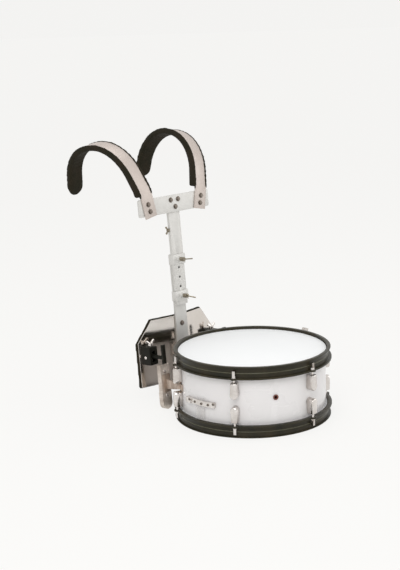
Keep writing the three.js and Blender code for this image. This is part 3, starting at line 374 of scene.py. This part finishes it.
looks = {
    "shellLacquer": {
        "colour": tone(236, 234, 234), "colourTwo": tone(229, 226, 226),
        "mottleScale": 7, "mottleContrast": 1.2,
        "scratchScale": 30, "scratchAmount": 0.25, "scratchStretch": (1, 1, 6), "scratchRough": 0.08,
        "roughLow": 0.24, "roughHigh": 0.32, "grainScale": 260, "bump": 0.08, "bumpDepth": 0.0003,
        "plain": {"Coat Weight": 0.35, "Coat Roughness": 0.12},
    },
    "headFilm": {
        "colour": tone(245, 246, 246), "colourTwo": tone(240, 241, 241),
        "mottleScale": 5, "mottleContrast": 1.0,
        "scratchScale": 22, "scratchAmount": 0.3, "scratchRough": 0.1,
        "roughLow": 0.5, "roughHigh": 0.62, "grainScale": 1400, "bump": 0.25, "bumpDepth": 0.00015,
        "plain": {"Specular IOR Level": 0.15},
    },
    "hoopEnamel": {
        "colour": tone(31, 31, 20), "colourTwo": tone(57, 50, 34),
        "mottleScale": 24, "mottleContrast": 2.2, "edgeAmount": 0.3, "edgeColour": tone(96, 90, 70),
        "scratchScale": 45, "scratchAmount": 0.5, "scratchStretch": (1, 1, 7), "scratchRough": 0.25,
        "roughLow": 0.3, "roughHigh": 0.44, "grainScale": 420, "bump": 0.1, "bumpDepth": 0.0003,
        "plain": {"Specular IOR Level": 0.25},
    },
    "chromePlate": {
        "colour": tone(236, 232, 229), "colourTwo": tone(206, 199, 193),
        # the dark brown edge colour is painted reflection of a dark room along the edges, not wear
        "mottleScale": 40, "mottleContrast": 1.6, "edgeAmount": 1.2, "edgeColour": tone(120, 104, 92),
        "scratchScale": 120, "scratchAmount": 0.35, "scratchRough": 0.2,
        "roughLow": 0.12, "roughHigh": 0.26, "grainScale": 300, "bump": 0.08, "bumpDepth": 0.0002,
        "plain": {"Metallic": 1.0},
    },
    "satinAluminium": {
        "colour": tone(217, 216, 213), "colourTwo": tone(203, 201, 197),
        "mottleScale": 22, "mottleContrast": 1.5, "edgeAmount": 0.3, "edgeColour": tone(228, 224, 220),
        "scratchScale": 70, "scratchAmount": 0.5, "scratchStretch": (8, 1, 0.6),
        "roughLow": 0.5, "roughHigh": 0.62, "grainScale": 240, "grainStretch": (6, 6, 0.3),
        "bump": 0.18, "bumpDepth": 0.0002, "plain": {"Metallic": 0.7, "Specular IOR Level": 0.3},
    },
    "warmAluminium": {
        "colour": tone(205, 195, 188), "colourTwo": tone(190, 179, 172),
        "mottleScale": 18, "mottleContrast": 1.8, "edgeAmount": 0.3, "edgeColour": tone(224, 216, 210),
        "scratchScale": 70, "scratchAmount": 0.5, "scratchStretch": (8, 0.8, 0.8),
        "roughLow": 0.46, "roughHigh": 0.6, "grainScale": 240, "grainStretch": (6, 0.6, 0.6),
        "bump": 0.18, "bumpDepth": 0.0002, "plain": {"Metallic": 0.7, "Specular IOR Level": 0.3},
    },
    "polishedAluminium": {
        "colour": tone(222, 216, 210), "colourTwo": tone(202, 194, 186),
        "mottleScale": 12, "mottleContrast": 1.6, "edgeAmount": 0.3, "edgeColour": tone(235, 233, 231),
        "scratchScale": 55, "scratchAmount": 0.5, "scratchStretch": (1, 1, 5),
        "roughLow": 0.08, "roughHigh": 0.18, "grainScale": 160, "bump": 0.1, "bumpDepth": 0.0003,
        "plain": {"Metallic": 1.0},
    },
    "padFoam": {
        "colour": tone(30, 31, 20), "colourTwo": tone(50, 42, 32),
        "mottleScale": 30, "mottleContrast": 2.0,
        "scratchScale": 400, "scratchAmount": 0.4, "scratchRough": 0.05,
        "roughLow": 0.86, "roughHigh": 0.96, "grainScale": 900, "bump": 0.6, "bumpDepth": 0.0006,
        "plain": {"Sheen Weight": 0.04, "Specular IOR Level": 0.12},
    },
    "blackPlastic": {
        "colour": tone(16, 17, 12), "colourTwo": tone(26, 25, 19),
        "mottleScale": 50, "mottleContrast": 1.4, "edgeAmount": 0.3, "edgeColour": tone(64, 61, 54),
        "scratchScale": 160, "scratchAmount": 0.4, "scratchRough": 0.2,
        "roughLow": 0.42, "roughHigh": 0.58, "grainScale": 1100, "bump": 0.3, "bumpDepth": 0.0002,
        "plain": {"Specular IOR Level": 0.16},
    },
    "brushedChrome": {
        "colour": tone(238, 229, 220), "colourTwo": tone(182, 169, 156),
        # the dark brown edge colour is painted shade along the legs' edges, not wear
        "mottleScale": 34, "mottleContrast": 2.6, "edgeAmount": 1.2, "edgeColour": tone(98, 84, 72),
        "scratchScale": 90, "scratchAmount": 0.7, "scratchStretch": (6, 6, 0.5), "scratchRough": 0.2,
        "roughLow": 0.36, "roughHigh": 0.5, "grainScale": 300, "grainStretch": (8, 8, 0.4),
        "bump": 0.2, "bumpDepth": 0.0002, "plain": {"Metallic": 0.5},
    },
    "armSteelWithPaintedShade": {
        # the drum arms: warm metal whose brown tones and dark edge colour are painted shade, not a
        # browned finish
        "colour": tone(204, 188, 174), "colourTwo": tone(146, 126, 110),
        "mottleScale": 44, "mottleContrast": 2.2, "edgeAmount": 0.9, "edgeColour": tone(104, 80, 66),
        "scratchScale": 90, "scratchAmount": 0.5, "scratchRough": 0.2,
        "roughLow": 0.36, "roughHigh": 0.5, "grainScale": 300,
        "bump": 0.2, "bumpDepth": 0.0002, "plain": {"Metallic": 0.5},
    },
    "beadEnamelWithPaintedHighlight": {
        # far lighter than the hoop's own black enamel: the bead's tone is painted highlight, a light
        # line round the hoop
        "colour": tone(92, 92, 74), "colourTwo": tone(70, 66, 48),
        "mottleScale": 30, "mottleContrast": 1.8,
        "scratchScale": 60, "scratchAmount": 0.5, "scratchRough": 0.2,
        "roughLow": 0.28, "roughHigh": 0.42, "grainScale": 420, "bump": 0.1, "bumpDepth": 0.0002,
        "plain": {"Specular IOR Level": 0.4},
    },
    "wornSteel": {
        "colour": tone(156, 147, 130), "colourTwo": tone(104, 95, 80),
        "mottleScale": 70, "mottleContrast": 2.2, "edgeAmount": 0.5, "edgeColour": tone(222, 214, 204),
        "scratchScale": 120, "scratchAmount": 0.6, "scratchRough": 0.2,
        "roughLow": 0.28, "roughHigh": 0.46, "grainScale": 400, "bump": 0.2, "bumpDepth": 0.0002,
        "plain": {"Metallic": 0.8},
    },
    "snareSteel": {
        "colour": tone(190, 188, 184), "colourTwo": tone(160, 156, 150),
        "mottleScale": 90, "mottleContrast": 1.5,
        "scratchScale": 300, "scratchAmount": 0.4,
        "roughLow": 0.2, "roughHigh": 0.36, "grainScale": 500, "bump": 0.2, "bumpDepth": 0.0002,
        "plain": {"Metallic": 1.0},
    },
    "clearStrap": {
        "colour": tone(232, 229, 228), "colourTwo": tone(226, 222, 220),
        "mottleScale": 30, "mottleContrast": 1.2,
        "scratchScale": 120, "scratchAmount": 0.4, "scratchStretch": (1, 8, 1),
        "roughLow": 0.3, "roughHigh": 0.45, "grainScale": 300, "bump": 0.1, "bumpDepth": 0.0002,
        "plain": {"Alpha": 0.28},
    },
    "grommetEnamel": {
        "colour": tone(122, 70, 58), "colourTwo": tone(96, 54, 46),
        "mottleScale": 200, "mottleContrast": 1.5, "edgeAmount": 0.6, "edgeColour": tone(170, 120, 100),
        "scratchScale": 300, "scratchAmount": 0.3,
        "roughLow": 0.25, "roughHigh": 0.4, "grainScale": 900, "bump": 0.1, "bumpDepth": 0.0001,
        "plain": {"Metallic": 0.3},
    },
    "boltSteel": {
        "colour": tone(138, 129, 121), "colourTwo": tone(92, 84, 76),
        # the light edge colour is painted highlight, a bright ring round each head, not wear
        "mottleScale": 150, "mottleContrast": 1.6, "edgeAmount": 0.5, "edgeColour": tone(200, 198, 196),
        "scratchScale": 400, "scratchAmount": 0.5,
        "roughLow": 0.25, "roughHigh": 0.4, "grainScale": 900, "bump": 0.15, "bumpDepth": 0.0001,
        "plain": {"Metallic": 1.0},
    },
}
finishes = {name: makeFinish(name, look) for name, look in looks.items()}
slotFinish = {
    "white_lacquer": "shellLacquer", "head_film": "headFilm", "black_paint": "hoopEnamel",
    "chrome_plate": "chromePlate", "satin_aluminium": "satinAluminium",
    "polished_aluminium": "polishedAluminium", "black_foam": "padFoam", "black_plastic": "blackPlastic",
    "snare_steel": "snareSteel", "clear_strap": "clearStrap", "grommet_metal": "grommetEnamel",
}
# pieces whose finish isn't their slot's usual one, by the start of their names
ownFinish = {
    "shoulder_bar_": "warmAluminium", "leg_": "brushedChrome", "drum_arm_": "armSteelWithPaintedShade",
    "bar_wing_": "wornSteel", "side_wing_": "wornSteel",
}
print("finishes made:", len(finishes))


# rounded edges of the CAD's own pieces: width in metres, and the turn from which an edge is rounded
rounding = {
    "shell": (0.0004, 30), "batter_head": (0.0003, 30), "snare_head": (0.0003, 30),
    "batter_hoop": (0.0006, 30), "snare_hoop": (0.0006, 30),
    "lug": (0.0007, 40), "tension_rod": (0.0003, 30), "vent_grommet": (0.0004, 30),
    "butt_plate": (0.0006, 30), "strainer": (0.0006, 30), "height_bar": (0.0005, 30),
    "spine": (0.0005, 30), "belly_plate": (0.0005, 20), "crossbar": (0.0006, 30),
    "shoulder_bar": (0.0008, 30), "clamp_block": (0.0009, 30), "hanger": (0.0006, 30),
    "leg": (0.0007, 30), "drum_arm": (0.0007, 30),
    "clamp_wing": (0.0008, 30), "bar_wing": (0.0008, 30), "side_wing": (0.0006, 30),
}


def roundingOf(node):
    # straps and pads aren't rounded here; of several names that fit, the longest counts
    if "strap" in node or "pad" in node:
        return None
    names = [name for name in rounding if node.startswith(name)]
    return rounding[max(names, key=len)] if names else None


def finishFor(node):
    for start, finish in ownFinish.items():
        if node.startswith(start):
            return finishes[finish]
    return finishes[slotFinish[nodeSlot[node]]]


def roundedCopy(node, width, degrees):
    piece = mergedCopy(node, node + "_finished")
    editAll()
    bpy.ops.mesh.dissolve_limited(angle_limit=math.radians(shaping["flat"]))
    objectMode()
    roundEdges(piece, width, degrees, degrees)
    dress(piece, finishFor(node), nodeBody[node])
    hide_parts(node)


def finishNodes():
    for node, obj in sorted(frame["nodes"].items()):
        obj.data.materials.clear()
        obj.data.materials.append(finishFor(node))
        rule = roundingOf(node)
        if rule:
            roundedCopy(node, *rule)


finishNodes()
print("CAD pieces finished")


# places on the carrier: x to the side, back from the drum, up along the bar, all in metres
carrier = {"lean": math.radians(4.65), "back": 0.217}
carrierTurn = Matrix.Rotation(-carrier["lean"], 4, "X")
carrierPlace = Matrix.Translation(drumAxis + Vector((0, carrier["back"], 0))) @ carrierTurn
facingDrum = Matrix.Rotation(math.radians(90), 4, "X")
facingPlayer = Matrix.Rotation(math.radians(-90), 4, "X")
towardsDrum = carrierPlace.to_3x3() @ Vector((0, -1, 0))
towardsPlayer = carrierPlace.to_3x3() @ Vector((0, 1, 0))


# heads of the bolts, nuts and screws, each kind modelled once on the Z axis
fixings = {
    "hexBolt": {"radius": 0.0050, "rise": 0.0036, "washer": 0.0066, "washerRise": 0.0009},
    "hexNut": {"radius": 0.0050, "rise": 0.0040, "washer": 0.0064, "washerRise": 0.0009},
    "capScrew": {"radius": 0.0031, "rise": 0.0013, "dome": 0.0006, "recess": 0.0010},
    "shares": {            # insets and rises, as shares of the piece's own radius or rise
        "washerRim": 0.2, "headStart": 0.5, "headRim": 0.12, "headDome": 0.09,
        "threadRim": 0.3, "threadRise": 0.35, "screwRim": 0.3, "screwRecess": 0.28,
    },
    "facets": {"washer": 28, "hex": 6, "screw": 24},
    "smooth": {"hex": 35, "screw": 40},
    "sink": 0.0006,
    "edge": 0.00025,
    "edgeAngle": 25,
    "topNormal": 0.9,      # how far up a face has to look, to be the top
}


def topFace(face):
    return face.normal.z > fixings["topNormal"]


def insetTop(thickness, rise=0):
    # in edit mode: the selected faces drawn in, and then lifted
    bpy.ops.mesh.inset(thickness=thickness)
    if rise:
        bpy.ops.transform.translate(value=(0, 0, rise))


def extrudeTop(rise):
    bpy.ops.mesh.extrude_region_move(TRANSFORM_OT_translate={"value": (0, 0, rise)})


def makeHexHead(name, threadEnd):
    size, share, facets = fixings[name], fixings["shares"], fixings["facets"]
    radius = size["radius"]
    washer = roundStock(
        name + "Washer", size["washer"], -fixings["sink"], size["washerRise"], facets["washer"])
    pickParts(washer, "FACE", topFace)
    insetTop(size["washer"] * share["washerRim"])
    objectMode()
    start = size["washerRise"] * share["headStart"]
    head = roundStock(name, radius, start, size["rise"], facets["hex"])
    pickParts(head, "FACE", topFace)
    insetTop(radius * share["headRim"], radius * share["headDome"])
    if threadEnd:
        # the end of the bolt stands out of its nut
        insetTop(radius * share["threadRim"])
        extrudeTop(radius * share["threadRise"])
    objectMode()
    joinPieces(head, washer)
    roundEdges(head, fixings["edge"], fixings["edgeAngle"], fixings["smooth"]["hex"])
    return head


def makeCapScrew(name):
    size, share = fixings[name], fixings["shares"]
    head = roundStock(name, size["radius"], -fixings["sink"], size["rise"], fixings["facets"]["screw"])
    pickParts(head, "FACE", topFace)
    insetTop(size["radius"] * share["screwRim"], size["dome"])
    insetTop(size["radius"] * share["screwRecess"])
    extrudeTop(-size["recess"])
    objectMode()
    roundEdges(head, fixings["edge"], fixings["edgeAngle"], fixings["smooth"]["screw"])
    return head


hexBolt = makeHexHead("hexBolt", False)
hexNut = makeHexHead("hexNut", True)
capScrew = makeCapScrew("capScrew")


# bolts of the carrier: side and height of each, on the node that it holds, in metres
carrierBolts = {
    "crossbar": [(-0.012, 0.505), (0.013, 0.505), (0.002, 0.487)],
    "strap": [(0.091, 0.5037), (0.0862, 0.4858)],
    "spine": [(0.0, 0.189), (0.0, 0.120)],
    "turn": 17,            # degrees between one bolt's flats and the next one's
    "farFront": -0.08,     # from where each side is searched for its surface
    "farBack": 0.08,
}


def boltOn(node, pattern, name, side, up, fromDrum, turn, finish="boltSteel", size=1):
    far = carrierBolts["farFront" if fromDrum else "farBack"]
    heading = towardsPlayer if fromDrum else towardsDrum
    point = surfaceAt(node, carrierPlace @ Vector((side, far, up)), heading)
    facing = facingDrum if fromDrum else facingPlayer
    place = Matrix.Translation(point) @ carrierTurn @ facing
    place = place @ Matrix.Rotation(math.radians(turn), 4, "Z") @ Matrix.Scale(size, 4)
    placeCopy(pattern, name, place, finish, nodeBody[node])


def boltAndNut(kind, count, front, back, side, up):
    # a bolt from the drum's side and its nut at the back, both turned the same way
    turn = count * carrierBolts["turn"]
    boltOn(front, hexBolt, kind + "_bolt_" + str(count), side, up, True, turn)
    if back:
        boltOn(back, hexNut, kind + "_nut_" + str(count), side, up, False, turn)


def makeCarrierBolts():
    jobs = [("crossbar", "crossbar", "height_bar", side, up) for side, up in carrierBolts["crossbar"]]
    for hand, sign in (("left", 1), ("right", -1)):
        for side, up in carrierBolts["strap"]:
            jobs.append(("strap", "shoulder_bar_" + hand, "crossbar", side * sign, up))
    jobs += [("plate", "spine", None, side, up) for side, up in carrierBolts["spine"]]
    for count, (kind, front, back, side, up) in enumerate(jobs, 1):
        boltAndNut(kind, count, front, back, side, up)
    print("carrier bolts placed:", len(jobs))


makeCarrierBolts()


# screws of the butt strip and of the strainer's base: degrees round the drum and height, in metres
drumScrews = {
    "butt": {
        "node": "butt_plate", "size": 1,
        "places": [(171.0, 0.0740), (175.5, 0.0705), (182.3, 0.0700), (188.5, 0.0705), (193.0, 0.0740)],
    },
    "strainer": {
        "node": "strainer_body", "size": 0.75,
        "places": [(-5.45, 0.0500), (5.45, 0.0500), (-5.45, 0.1165), (5.45, 0.1165)],
    },
}
drumFar = 0.4              # from the axis, where the search for a wall starts


def facingOut(point, outward):
    # a place on a surface, with Z pointing away from it
    return Matrix.Translation(point) @ outward.to_track_quat("Z", "Y").to_matrix().to_4x4()


def drumWall(node, degrees, up):
    # the outside of a drum piece, met from far out
    angle = math.radians(degrees)
    outward = Vector((math.cos(angle), math.sin(angle), 0))
    point = surfaceAt(node, drumAxis + outward * drumFar + Vector((0, 0, up)), -outward)
    return facingOut(point, outward)


def makeDrumScrews():
    for kind, screws in drumScrews.items():
        node = screws["node"]
        for number, (degrees, up) in enumerate(screws["places"], 1):
            name = kind + "_screw_" + str(number)
            place = drumWall(node, degrees, up) @ Matrix.Scale(screws["size"], 4)
            placeCopy(capScrew, name, place, "boltSteel", nodeBody[node])


makeDrumScrews()
print("drum screws placed")


# foot sleeves and screws of the legs, and the pins of the clamp blocks: side, back and height
legDetails = {
    "sleeveTop": 0.040,
    "sleeveWall": 0.0008,
    "sleeveEdge": 0.0003,
    "edgeAngle": 30,
    "smooth": 35,
    "screws": [(0.1170, 0.094), (0.1160, 0.034)],
    "screwScale": 1.45,
    "pinPlace": (0.14, 0.020, 0.123),
    "pinScale": 1.25,
}


def makeLegSleeve(hand):
    node = "leg_" + hand
    sleeve = mergedCopy(node, node + "_sleeve")
    editAll()
    bpy.ops.mesh.bisect(plane_co=carrierPlace @ Vector((0, 0, legDetails["sleeveTop"])),
                        plane_no=carrierPlace.to_3x3() @ Vector((0, 0, 1)), clear_outer=True)
    objectMode()
    applyModifier(sleeve, "SOLIDIFY", thickness=legDetails["sleeveWall"], offset=1)
    roundEdges(sleeve, legDetails["sleeveEdge"], legDetails["edgeAngle"], legDetails["smooth"])
    dress(sleeve, finishes["brushedChrome"], nodeBody[node])


def makeLegDetails():
    for hand, sign in (("left", 1), ("right", -1)):
        makeLegSleeve(hand)
        for number, (side, up) in enumerate(legDetails["screws"], 1):
            name = "leg_screw_" + hand + "_" + str(number)
            boltOn("leg_" + hand, capScrew, name, side * sign, up, True, 0,
                   "chromePlate", legDetails["screwScale"])
        side, back, up = legDetails["pinPlace"]
        block = "clamp_block_" + hand
        outward = Vector((sign, 0, 0))
        point = surfaceAt(block, carrierPlace @ Vector((side * sign, back, up)), -outward)
        place = facingOut(point, outward) @ Matrix.Scale(legDetails["pinScale"], 4)
        placeCopy(capScrew, "block_pin_" + hand, place, "chromePlate", nodeBody[block])


makeLegDetails()
print("leg details made")


# coils of the snare wires, laid over the plain strands between their end plates
coil = {
    "count": 12,
    "spread": 0.0484,      # from the first strand to the last
    "endPlates": 0.030,    # of the length, both together
    "valley": 0.00082,
    "crest": 0.00096,
    "pitch": 0.0022,
    "ringShare": 0.125,    # of the pitch, within which a vertex is the crest's
    "facets": 6,
    "weld": 0.00001,
    "smooth": 50,
}


def makeOneCoilTurn():
    # a short tube that swells in the middle
    pitch = coil["pitch"]
    clearSelection()
    bpy.ops.mesh.primitive_cylinder_add(
        vertices=coil["facets"], radius=coil["valley"], depth=pitch, end_fill_type="NOTHING",
        rotation=(0, math.radians(90), 0))
    wires = bpy.context.object
    wires.name = "snare_coils"
    settle(wires)

    def lengthwise(edge):
        ends = [wires.data.vertices[index].co.x for index in edge.vertices]
        return abs(ends[0] - ends[1]) > pitch / 2

    pickParts(wires, "EDGE", lengthwise)
    bpy.ops.mesh.subdivide(number_cuts=1)
    pickParts(wires, "VERT", lambda vertex: abs(vertex.co.x) < pitch * coil["ringShare"])
    swell = coil["crest"] / coil["valley"]
    bpy.ops.transform.resize(value=(1, swell, swell))
    objectMode()
    return wires


def makeCoils():
    low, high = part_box("snare_wires")
    pitch, spread = coil["pitch"], coil["spread"]
    turns = int((high.x - low.x - coil["endPlates"]) / pitch)
    wires = makeOneCoilTurn()
    repeat(wires, turns, (pitch, 0, 0), use_merge_vertices=True, merge_threshold=coil["weld"])
    editAll()
    bpy.ops.mesh.fill_holes(sides=coil["facets"])
    bpy.ops.mesh.normals_make_consistent(inside=False)
    objectMode()
    repeat(wires, coil["count"], (0, spread / (coil["count"] - 1), 0))
    middle = (low + high) / 2
    start = middle - Vector(((turns - 1) * pitch / 2, spread / 2, 0))
    wires.data.transform(Matrix.Translation(start))
    smoothByAngle(wires, coil["smooth"])
    dress(wires, finishes["snareSteel"], nodeBody["snare_wires"])
    print("snare coils:", turns, "turns on", coil["count"], "strands")


makeCoils()


# rolled bead round the middle of each hoop
hoopBead = {
    "share": 0.46,         # of the hoop's height
    "clearWay": 200,       # degrees round the drum, between two ears
    "radius": 0.0016,
    "proud": 0.0010,
    "facets": 10,
    "steps": 180,
    "smooth": 60,
}


def makeHoopBead(node, name):
    low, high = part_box(node)
    up = low.z + (high.z - low.z) * hoopBead["share"]
    wall = drumWall(node, hoopBead["clearWay"], up).translation - drumAxis
    middle = Vector((wall.x, wall.y)).length - hoopBead["radius"] + hoopBead["proud"]
    clearSelection()
    bpy.ops.mesh.primitive_circle_add(
        vertices=hoopBead["facets"], radius=hoopBead["radius"], rotation=(math.radians(90), 0, 0),
        location=(drumAxis.x + middle, drumAxis.y, up))
    bead = bpy.context.object
    bead.name = name
    settle(bead)
    editAll()
    bpy.ops.mesh.spin(steps=hoopBead["steps"], angle=math.radians(360), center=drumAxis, axis=(0, 0, 1))
    bpy.ops.mesh.select_all(action="SELECT")
    bpy.ops.mesh.remove_doubles(threshold=shaping["weld"])
    bpy.ops.mesh.normals_make_consistent(inside=False)
    objectMode()
    smoothByAngle(bead, hoopBead["smooth"])
    # the bead's lighter finish is painted highlight
    dress(bead, finishes["beadEnamelWithPaintedHighlight"], nodeBody[node])


makeHoopBead("batter_hoop", "batter_hoop_bead")
makeHoopBead("snare_hoop", "snare_hoop_bead")
print("hoop beads made")


# soft pads, swollen a little by cloth simulation
pads = {
    "nodes": ("shoulder_pad_left", "shoulder_pad_right", "belly_pad"),
    "fill": 0.9,
    "voxel": 0.0026,
    "even": 0.5,           # the smoothing's share
    "swell": 0.0007,       # makes up for what the remesh and the smoothing take
    "lipReach": 0.007,     # the foam rolls round the shoulder bar's edges, where they lie on the pad
    "lipSide": 0.8,        # how far to the side a face of the bar looks, to carry a roll
    "lipWidth": 0.0030,
    "lipRise": 0.0013,
    "pressure": 3.0,
    "stiffness": 30,
    "bending": 2,
    "cap": 0.0009,
    "frames": 14,
    "smooth": 80,
}


def makeLips(hand):
    # the side faces of the shoulder bar along its pad, thickened into two rolls
    lips = mergedCopy("shoulder_bar_" + hand, "pad_lips_" + hand)
    pad = treeOf(frame["nodes"]["shoulder_pad_" + hand])

    def apart(face):
        away = pad.find_nearest(face.center)[3]
        return abs(face.normal.x) < pads["lipSide"] or away > pads["lipReach"]

    pickParts(lips, "FACE", apart)
    bpy.ops.mesh.delete(type="FACE")
    objectMode()
    applyModifier(lips, "SOLIDIFY", thickness=pads["lipWidth"], offset=0)
    applyModifier(lips, "DISPLACE", strength=pads["lipRise"], mid_level=0)
    return lips


def swellAsCloth(piece):
    cloth = piece.modifiers.new("cloth", "CLOTH")
    cloth.settings.use_pressure = True
    cloth.settings.uniform_pressure_force = pads["pressure"]
    cloth.settings.tension_stiffness = pads["stiffness"]
    cloth.settings.compression_stiffness = pads["stiffness"]
    cloth.settings.bending_stiffness = pads["bending"]
    cloth.settings.effector_weights.gravity = 0
    for step in range(1, pads["frames"] + 1):
        bpy.context.scene.frame_set(step)
    bpy.ops.object.modifier_apply(modifier="cloth")
    bpy.context.scene.frame_set(1)


def softPad(node):
    piece = mergedCopy(node, node + "_soft")
    if node.startswith("shoulder_pad_"):
        joinPieces(piece, makeLips(node.rpartition("_")[2]))
    applyModifier(piece, "REMESH", mode="VOXEL", voxel_size=pads["voxel"])
    applyModifier(piece, "SMOOTH", factor=pads["even"], iterations=1)
    applyModifier(piece, "DISPLACE", strength=pads["swell"], mid_level=0)
    start = [vertex.co.copy() for vertex in piece.data.vertices]
    swellAsCloth(piece)
    for vertex, before in zip(piece.data.vertices, start):
        move = vertex.co - before
        if move.length > pads["cap"]:
            vertex.co = before + move.normalized() * pads["cap"]
    applyModifier(piece, "SUBSURF", levels=1, render_levels=1)
    smoothByAngle(piece, pads["smooth"])
    dress(piece, finishes["padFoam"], nodeBody[node])
    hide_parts(node)


for name in pads["nodes"]:
    softPad(name)
for pattern in (hexBolt, hexNut, capScrew):
    bpy.data.objects.remove(pattern)
print("pads formed")


# pale room and soft lamps
room = {
    "floorSize": 90,
    "floorDrop": 0.0006,
    "floorTone": tone(240, 239, 236),
    "floorRough": 0.9,
    "floorGloss": 0.1,
    "whiteShare": 0.86,    # of the floor that the camera sees, the rest takes the shadows
    "paper": (0.965, 0.96, 0.945, 1),
    "paperLevel": 0.935,   # of the backdrop above the floor, so that no horizon shows
    "skyTone": (1, 1, 1, 1),
    "skyLow": 0.4,         # the sky's level at the horizon, and overhead
    "skyHigh": 0.76,
}


def seenDirectly(nodes, link):
    # 1 for what the camera sees straight, in a gloss or through something clear
    path = newNode(nodes, "LightPath")
    straight = newNode(nodes, "Math", operation="MAXIMUM")
    link(path.outputs["Is Camera Ray"], straight.inputs[0])
    link(path.outputs["Is Glossy Ray"], straight.inputs[1])
    either = newNode(nodes, "Math", operation="MAXIMUM")
    link(straight.outputs[0], either.inputs[0])
    link(path.outputs["Is Transmission Ray"], either.inputs[1])
    return either.outputs[0]


def makeFloor():
    clearSelection()
    bpy.ops.mesh.primitive_plane_add(size=room["floorSize"], location=(0, 0, -room["floorDrop"]))
    floor = bpy.context.object
    floor.name = "studioFloor"
    material = bpy.data.materials.new("studioPaper")
    material.use_nodes = True
    nodes, link = material.node_tree.nodes, material.node_tree.links.new
    shader = nodes["Principled BSDF"]
    shader.inputs["Base Color"].default_value = room["floorTone"]
    shader.inputs["Roughness"].default_value = room["floorRough"]
    shader.inputs["Specular IOR Level"].default_value = room["floorGloss"]
    glow = newNode(nodes, "Emission", {"Color": room["paper"]})
    share = newNode(nodes, "Math", {1: room["whiteShare"]}, operation="MULTIPLY")
    link(seenDirectly(nodes, link), share.inputs[0])
    mix = newNode(nodes, "MixShader")
    link(share.outputs[0], mix.inputs["Fac"])
    link(shader.outputs["BSDF"], mix.inputs[1])
    link(glow.outputs["Emission"], mix.inputs[2])
    link(mix.outputs["Shader"], nodes["Material Output"].inputs["Surface"])
    floor.data.materials.append(material)


def makeSky():
    world = bpy.data.worlds.new("studioSky")
    bpy.context.scene.world = world
    world.use_nodes = True
    nodes, link = world.node_tree.nodes, world.node_tree.links.new
    light = nodes["Background"]
    light.inputs["Color"].default_value = room["skyTone"]
    place = newNode(nodes, "TexCoord")
    split = newNode(nodes, "SeparateXYZ")
    link(place.outputs["Generated"], split.inputs["Vector"])
    level = newNode(nodes, "MapRange", {"To Min": room["skyLow"], "To Max": room["skyHigh"]})
    link(split.outputs["Z"], level.inputs["Value"])
    link(level.outputs["Result"], light.inputs["Strength"])
    white = newNode(nodes, "Background", {"Color": room["paper"], "Strength": room["paperLevel"]})
    mix = newNode(nodes, "MixShader")
    link(seenDirectly(nodes, link), mix.inputs["Fac"])
    link(light.outputs["Background"], mix.inputs[1])
    link(white.outputs["Background"], mix.inputs[2])
    link(mix.outputs["Shader"], nodes["World Output"].inputs["Surface"])


lamps = {
    "key": {"place": (-1.7, -1.3, 1.95), "size": 1.6, "power": 28},
    "fill": {"place": (1.6, -1.6, 1.2), "size": 1.8, "power": 9.5},
    "top": {"place": (0.2, 0.4, 2.8), "size": 1.8, "power": 11},
}
lampAim = Vector((0, -0.05, 0.25))


def makeLamps():
    for name, lamp in lamps.items():
        data = bpy.data.lights.new(name + "Light", "AREA")
        data.size = lamp["size"]
        data.energy = lamp["power"]
        obj = bpy.data.objects.new(name + "Light", data)
        bpy.context.scene.collection.objects.link(obj)
        obj.location = lamp["place"]
        heading = lampAim - Vector(lamp["place"])
        obj.rotation_euler = heading.to_track_quat("-Z", "Y").to_euler()


makeFloor()
makeSky()
makeLamps()
bpy.context.scene.view_settings.view_transform = "Standard"
print("room lit")
